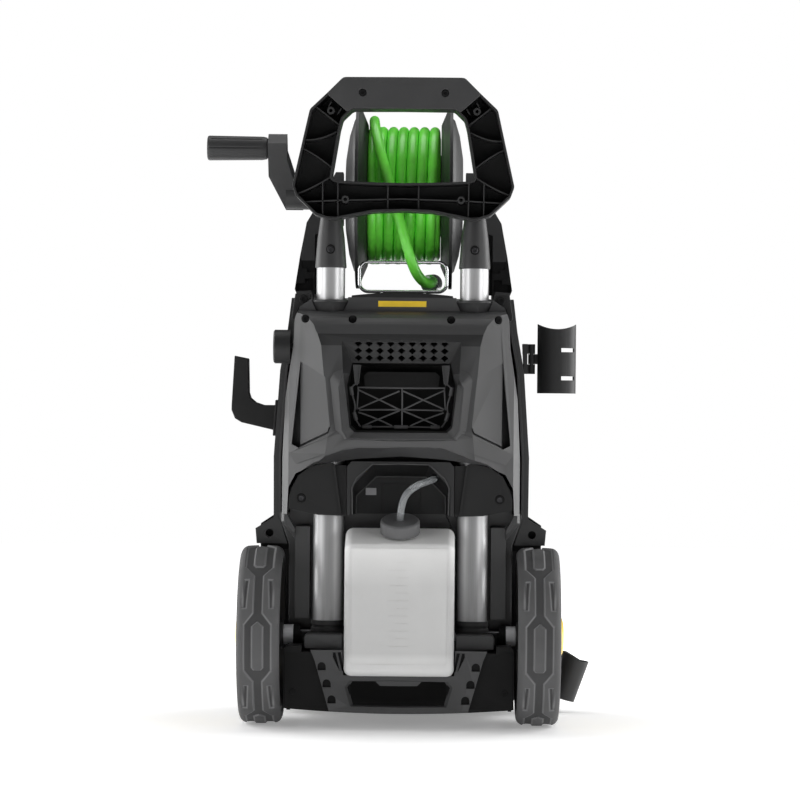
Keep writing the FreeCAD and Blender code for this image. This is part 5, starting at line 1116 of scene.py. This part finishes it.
GRIP_BACK = -22.0
GRIP_FRONT = 14.0
GRIP_WALL = 2.6
GRIP_OUTER = [(0, 726.5), (68, 726.3), (86.8, 707.6), (105.4, 690), (124.6, 604), (120.5, 593), (98, 571.5),
              (80, 565.8), (58, 570.6), (33.5, 575.3), (0, 576.6)]
GRIP_WINDOW = [(0, 690.7), (57, 690.3), (68.2, 679.5), (71.2, 668), (80.2, 613), (73, 610.2), (33.8, 608.5),
               (0, 607.9)]
GRIP_RIBS = [[(97.8, 692.6), (72.3, 673)], bowed((110.4, 656), (93.2, 657.8), (75.2, 665.4)),
             bowed((112.6, 646), (97.8, 637.8), (81, 625.6)),
             bowed((120.2, 595), (100.7, 603.4), (81, 615.2)),
             [(90.5, 608.5), (90.3, 570)], [(73.5, 609), (73.1, 568.5)], [(17.2, 607.5), (17.2, 577)],
             [(81.5, 698.8), (84.6, 693.2)], [(70.3, 691.6), (74.1, 685.2)],
             [(109.4, 586.5), (73.3, 588.4), (0, 590.4)]]
GRIP_STRIP = [(0, 726), (67.8, 725.8), (86.5, 707.4), (63.6, 687.2), (57, 691.2), (0, 691.2)]
GRIP_SCREW = (46.2, 708.8)
SLEEVE_SCREW_Z = 533.5


def handle_grip():
    """The handle's loop, open toward the rear."""
    outer = rounded(both(GRIP_OUTER), 9)
    window = rounded(both(GRIP_WINDOW), 7)
    loop = cut(slab(outer, GRIP_BACK, GRIP_FRONT), slab(window, GRIP_BACK - 5, GRIP_FRONT + 5))
    room = cut(slab(moved(outer, -GRIP_WALL), GRIP_BACK - 3, GRIP_FRONT - 3),
               slab(moved(window, GRIP_WALL), GRIP_BACK - 5, GRIP_FRONT + 2))
    piece = settled("grip_loop", cut(loop, room), "black_plastic", "handle", 0.7, 35, 2, SHADE)
    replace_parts(piece, "handle_grip")


def grip_ribs():
    """The stiffening ribs and screw bosses inside the loop."""
    boss = [(0, 2.0), (0, 4.2), (31, 4.2), (31, 2.0)]
    ribs = []
    for side in (-1, 1):
        ribs += [ribbon(sided(side, route), 1.3, GRIP_BACK + 6, GRIP_FRONT - 2) for route in GRIP_RIBS]
        for x, z in ((81.9, 688.7), (64.9, 589.3)):
            ribs.append(turned(boss, at(side * x, GRIP_FRONT - 2, z), REARWARD, 24))
    settled("grip_ribs", gathered(ribs), "black_plastic", "handle", 0, paint=SHADE)


def grip_strip():
    """Cover over the rear of the top bar, with its two screws, and the screws in the sleeves."""
    strip = slab(rounded(both(GRIP_STRIP), 3), GRIP_BACK - 1.6, GRIP_BACK + 1.6)
    heads, lower = [], []
    reach, z = GRIP_SCREW
    for side in (-1, 1):
        x = side * reach
        strip = cut(strip, bore(x, z, -30, GRIP_BACK + 0.4, 4.4))
        heads.append(screw_head(x, GRIP_BACK + 0.2, z, 3.9))
        lower.append(screw_head(side * TUBE_X, -17.0, SLEEVE_SCREW_Z, 3.5))
    cover = settled("grip_strip", strip, "black_plastic", "handle", 0.5, paint=HOUSING)
    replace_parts(cover, "grip_rear_cover")
    # Screw heads in the darkest moulding: painted shade.
    screws = settled("grip_screws", gathered(heads), "dark_steel", "handle", 0.2, paint=DEEP_SHADE)
    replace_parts(screws, "handle_screws")
    settled("sleeve_screws", gathered(lower), "dark_steel", "handle", 0.2)


def sleeves():
    """Flared sleeves round the tops of the inner tubes, each with a dark ring round its screw."""
    profile = [(513, 16.6), (513, 17.4), (514, 17.8), (519, 17.4), (546, 15.4), (564, 13.0), (571, 12.0),
               (571, HAIR), (526, HAIR), (526, 16.4)]
    parts, rings = [], []
    for side in (-1, 1):
        x = side * TUBE_X
        seat = bore(x, SLEEVE_SCREW_Z, -30, -15.2, 4.6)
        parts.append(cut(round_tube(profile, side), seat))
        rings.append(screw_ring(x, -15.4, SLEEVE_SCREW_Z, 3.8))
    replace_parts(settled("sleeve_cones", gathered(parts), "black_plastic", "handle", 0.4), "sleeves")
    # Dark rings round the screws: painted shade in the seats.
    settled("sleeve_rings", gathered(rings), "black_plastic", "handle", 0.2, paint=DEEP_SHADE)


def tube_collars():
    """Flanged collars where the tubes enter the cover, each with a cupped underside."""
    profile = [(477, 17.2), (477, 22.4), (476.3, 23.5), (474.4, 23.6), (473.4, 22.8), (471, 21.9),
               (466, 19.6), (458, 17.7), (458, 17.55), (474, 17.55), (474, 17.2)]
    parts = [round_tube(profile, side, 64) for side in (-1, 1)]
    collars = settled("collar_flanges", gathered(parts), "black_plastic", "machine", 0.25, paint=HOUSING)
    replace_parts(collars, "tube_collars")


# ---- chassis and its skirt

REAR = -58.0
HAND_SLOT = [(0, 53.2), (50.5, 52.8), (55.2, 46.5), (49.8, 27.4), (0, 26.6)]
HAND_SLOT_RIM = [(0, 54.8), (54.5, 54.2), (60.2, 47), (53.8, 25.4), (0, 24.6)]
DRAIN_HOLES = ((85.3, 69.3), (79.6, 50.3), (74, 32.6))


def chassis():
    """The chassis with its lower edge bowed, its tube sockets cut down and a wing behind each wheel."""
    low = crowned(130, 16, 17.3, 5.6)
    tools = [slab(low + [(135, 10), (-135, 10)], REAR - 2, -20)] + pair(oblong(61, 104, 112, 120), -24, 24)
    wings = pair([(108, 15), (127.5, 15), (127.5, 88), (124, 92), (108, 92)], REAR + 0.4, -22)
    body = cut(fuse(node_solid("base_chassis"), *wings), *tools)
    # The chassis takes the darkest moulding: painted shade.
    piece = settled("chassis_shell", body, "black_plastic", "machine", 1.4, 35, 3, DEEP_SHADE)
    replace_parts(piece, "base_chassis")


def tube_cuffs():
    """A dark cuff round each tube's foot."""
    profile = [(103, 17.6), (103, 19.5), (108, 19.2), (109, 18.2), (111, 18.2), (112, 19.2), (117, 18.6),
               (117, 17.6)]
    cuffs = [round_tube(profile, side) for side in (-1, 1)]
    settled("tube_cuffs", gathered(cuffs), "black_plastic", "machine", 0.3)


def drain_hole(x, z, side):
    """A flat-footed hole with a domed top."""
    half, steps = 4.6, 8
    angles = [math.pi * n / steps for n in range(steps + 1)]
    dome = [(x + half * math.cos(a), z + (0.2 + 4.8 * math.sin(a))) for a in angles]
    return slab(sided(side, dome + [(x - half, z - 4), (x + half, z - 4)]), REAR - 6, REAR + 6)


def skirt():
    """Grey panel across the chassis's rear, with its hand slot, drain holes and a slanting slot each side."""
    steps = 10
    shares = [n / steps for n in range(steps + 1)]
    foot = [(77 - 77 * share, 19.9 - 2.4 * share * (2 - share)) for share in shares]
    half = [(0, 60), (61.5, 60), (62.5, 87.5), (98, 87.5), (93.4, 76.8)] + foot
    panel = slab(both(half), REAR - 3, REAR + 1)
    slant = [(72.9, 85), (64, 85.5), (61, 64.6), (65.5, 64.6), (72.9, 80)]
    bead = [(70.4, 86), (68, 86), (62.4, 63), (64.8, 63)]
    for side in (-1, 1):
        holes = [drain_hole(x, z, side) for x, z in DRAIN_HOLES]
        panel = cut(panel, *holes, slab(sided(side, slant), REAR - 6, REAR + 3))
        panel = fuse(panel, slab(sided(side, bead), REAR - 2.2, REAR + 1))
    slot = layered((both(HAND_SLOT_RIM), REAR - 3.5), (both(HAND_SLOT), REAR + 1.5))
    tongue = slab(both([(0, 54), (26, 54), (20.5, 48.6), (0, 48.4)]), REAR - 2.4, REAR + 1)
    panel = fuse(cut(panel, slot), tongue)
    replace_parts(settled("skirt_panel", panel, "grey_plastic", "machine", 0.45), "rear_skirt")


def socket_fronts():
    """Rounded blocks round the feet of the tubes."""
    outline = [(62.8, 104), (104, 104), (106, 100), (106, 88), (62.8, 84)]
    blocks = pair(rounded(outline, 3), -44, -21)
    settled("socket_fronts", gathered(blocks), "grey_plastic", "machine", 1.5, 35, 3)


def inner_walls():
    """Near-black walls by the wheels, behind the side plates' eyes and the front slots, and in the towers,
    standing in as painted shade.
    """
    walls = ((oblong(98, 60, 139, 199), 108, 112),
             ([(124, 193), (160, 193), (160, 223), (145, 233), (124, 233)], 42, 46),
             (oblong(0, 246, 46, 329), 196, 198),
             ([(85, 487), (118, 487), (117, 532), (110, 562), (101, 578), (85, 578)], 97, 100))
    parts = [slab(sided(side, outline), back, front) for side in (-1, 1) for outline, back, front in walls]
    settled("shade_walls", gathered(parts), "housing_plastic", "machine", 0.8, paint=DEEP_SHADE)


# ---- bottle, swivel and crank

BOTTLE_BACK = -66.5
CRANK_BACK = 92.3
CRANK_Z = 655.2


def bottle_marks():
    """Raised level marks down the middle of the bottle's rear face, inside a shallow bead."""
    marks = []
    for n in range(12):
        left, low = -12 + 8 * (n % 2), 92 + 8.4 * n
        marks.append(slab(oblong(left, low, 10, low + 0.9), BOTTLE_BACK, BOTTLE_BACK + 1))
    bead = rounded([(-55, 200), (55, 200), (54, 72), (-54, 72)], 6)
    marks.append(ribbon(bead + bead[:1], 1.6, BOTTLE_BACK, BOTTLE_BACK + 1))
    settled("bottle_marks", gathered(marks), "bottle_plastic", "bottle", 0)


def reel_swivel():
    """The reel's stepped brass swivel."""
    profile = [(0, HAIR), (0, 15), (4.5, 15), (4.5, 9.5), (14, 9.5), (14, HAIR)]
    made = turned(profile, at(103.5, REEL_BACK, REEL_Z), ALONG_X)
    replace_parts(settled("swivel_body", made, "brass", "machine", 0.4), "reel_swivel")


def crank_arm():
    """The crank's arm with a slanting channel along its outer side."""
    channel = slab([(-150.5, 630), (-146, 624), (-135.2, 589.5), (-139.4, 589.5)], 70, 88)
    notch = slab([(-134, 670), (-129.4, 668), (-129, 652), (-131, 646)], 70, 82)
    made = cut(node_solid("crank_arm"), channel, notch)
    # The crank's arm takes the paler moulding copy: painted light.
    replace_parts(settled("crank_lever", made, "black_plastic", "reel", 1.2, 35, 3, PALE_LIT), "crank_arm")


def crank_grip():
    """The crank's handle: a barrel with shallow lengthwise grooves and a rounded outer end."""
    turns, spacing, groove = 72, 9, 0.8
    stations = ((-158.3, 11.0), (-159.5, 12.6), (-163, 13.4), (-166, 13.6), (-222, 14.3), (-226, 14.4),
                (-227.8, 13.6), (-228.3, 12.2))
    rings = []
    for x, radius in stations:
        ring = []
        for n in range(turns):
            reach = radius - (groove if -222 <= x <= -166 and n % spacing == 0 else 0.0)
            angle = 2 * math.pi * n / turns
            ring.append(at(x, CRANK_BACK + reach * math.cos(angle), CRANK_Z + reach * math.sin(angle)))
        rings.append(ring)
    # The crank's barrel takes the paler moulding copy: painted light.
    piece = settled("crank_barrel", loft(rings), "black_plastic", "crank_handle", 0, paint=PALE_LIT)
    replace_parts(piece, "crank_grip")


# ---- clamps, hood and towers

CLAMP_REAR = -30.0
CLAMP = [(74, 292.6), (78.4, 294.6), (99.4, 290.4), (114, 280.3), (121.4, 266.2), (124.9, 256), (124.9, 243),
         (92, 236), (66.2, 235.2)]
CLAMP_WEDGE = [(72.2, 291.5), (74.4, 292), (66.6, 235), (60.4, 235), (60.4, 291.5)]
CLAMP_RIB = [(74.6, 291.5), (66.8, 236)]
CLAMP_SCREW = (110.8, 254.6)


def clamps():
    """Housings round the tubes with a slanting rib along the inner edge and a seated screw."""
    parts, heads, rings = [], [], []
    reach, z = CLAMP_SCREW
    for side in (-1, 1):
        x = side * reach
        wedge = slab(sided(side, CLAMP_WEDGE), CLAMP_REAR + 5, 21)
        block = fuse(slab(sided(side, CLAMP), CLAMP_REAR, 21), wedge)
        seat = bore(x, z, -36, CLAMP_REAR + 1.5, 5.2)
        parts.append(cut(block, seat, tube_room(side, 230, 300, 0.25)))
        parts.append(ribbon(sided(side, CLAMP_RIB), 2.6, CLAMP_REAR - 1.6, CLAMP_REAR + 1))
        heads.append(screw_head(x, CLAMP_REAR + 1, z, 3.5))
        rings.append(screw_ring(x, CLAMP_REAR + 1.4, z, 3.6))
    piece = settled("clamp_blocks", gathered(parts), "housing_plastic", "machine", 1.4, 30, 3, DUSK)
    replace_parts(piece, "tube_clamps")
    # Dark rings round the screws: painted shade in the seats.
    settled("clamp_rings", gathered(rings), "black_plastic", "machine", 0.2, paint=DEEP_SHADE)
    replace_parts(settled("clamp_heads", gathered(heads), "dark_steel", "machine", 0.2), "clamp_screws")


def hood_rims():
    """Beads round the mouth of the bottle's hood and along its back."""
    mouth = [(53.6, 236.5), (54.3, 266.3), (49.2, 277.6), (31.3, 293), (0, 293.6)]
    back = [(50.6, 236.5), (50.4, 256), (28, 278), (0, 278.4)]
    beads = [ribbon(half + sided(-1, half[-2::-1]), 1.5, depth - 1, depth + 2)
             for half, depth in ((mouth, CLAMP_REAR), (back, 16))]
    settled("hood_rims", gathered(beads), "housing_plastic", "machine", 0.4)


def towers():
    """The reel's brackets with stepped notches where they clasp the housing; the notch floors are in painted
    shade.
    """
    notches = ([(102, 526.8), (118, 526.6), (117.4, 516.4), (111.4, 516.2), (111.4, 512), (102, 512)],
               [(104, 504.5), (114, 504.5), (114, 499.5), (124, 499), (124, 489.5), (104, 491)])
    body = node_solid("reel_towers")
    for side in (-1, 1):
        body = cut(body, *[slab(sided(side, outline), 60, 88) for outline in notches])
    # The brackets take the paler moulding copy: painted light.
    piece = settled("tower_brackets", body, "black_plastic", "machine", 0.9, 35, 2, PALE_LIT)
    # Notch floors take the darkest moulding: painted shade.
    piece.data.materials.append(DEEP_SHADE)
    for face in piece.data.polygons:
        depth, z = face.center.y / MM - AXLE_Y, face.center.z / MM
        face.material_index = int(80 < depth < 88.5 and 489 < z < 527)
    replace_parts(piece, "reel_towers")


# ---- edges of the carried-over parts

# Rounding widths, each with the parts that have it.
EASED = {
    2.0: ("front_shell",),
    1.0: ("bottle_hood", "side_plates", "cable_hook", "rubber_feet"),
    0.8: ("lower_rear_panel", "reel_hub_covers", "power_knob", "switch_box", "gun_holster", "rim_left",
          "rim_right"),
    0.6: ("reel_flanges", "holster_bracket", "lance_cup", "hub_cap_left", "hub_cap_right"),
    0.5: ("bottle_cap", "reel_drum"),
    0.4: ("cable_gland", "water_inlet", "axle_rings", "hose_connector"),
    0.2: ("yellow_labels", "rating_plate", "upper_tubes", "lower_tubes"),
}


def ease_nodes():
    for width, names in EASED.items():
        for name in names:
            ease(nodes[name], width)


def write_size():
    sizes = [[list(map(float, corner)) for corner in box] for box in (cad_box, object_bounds())]


set_camera()
set_light()
add_floor()
paint_nodes()
wound_hose()
loose_hose()
suction_hose()
wheels()
rear_cover()
cover_screws()
cover_feet()
net_fins()
storage_net()
brow_band()
handle_grip()
grip_ribs()
grip_strip()
sleeves()
tube_collars()
chassis()
tube_cuffs()
skirt()
socket_fronts()
inner_walls()
bottle_marks()
reel_swivel()
crank_arm()
crank_grip()
clamps()
hood_rims()
towers()
ease_nodes()
write_size()
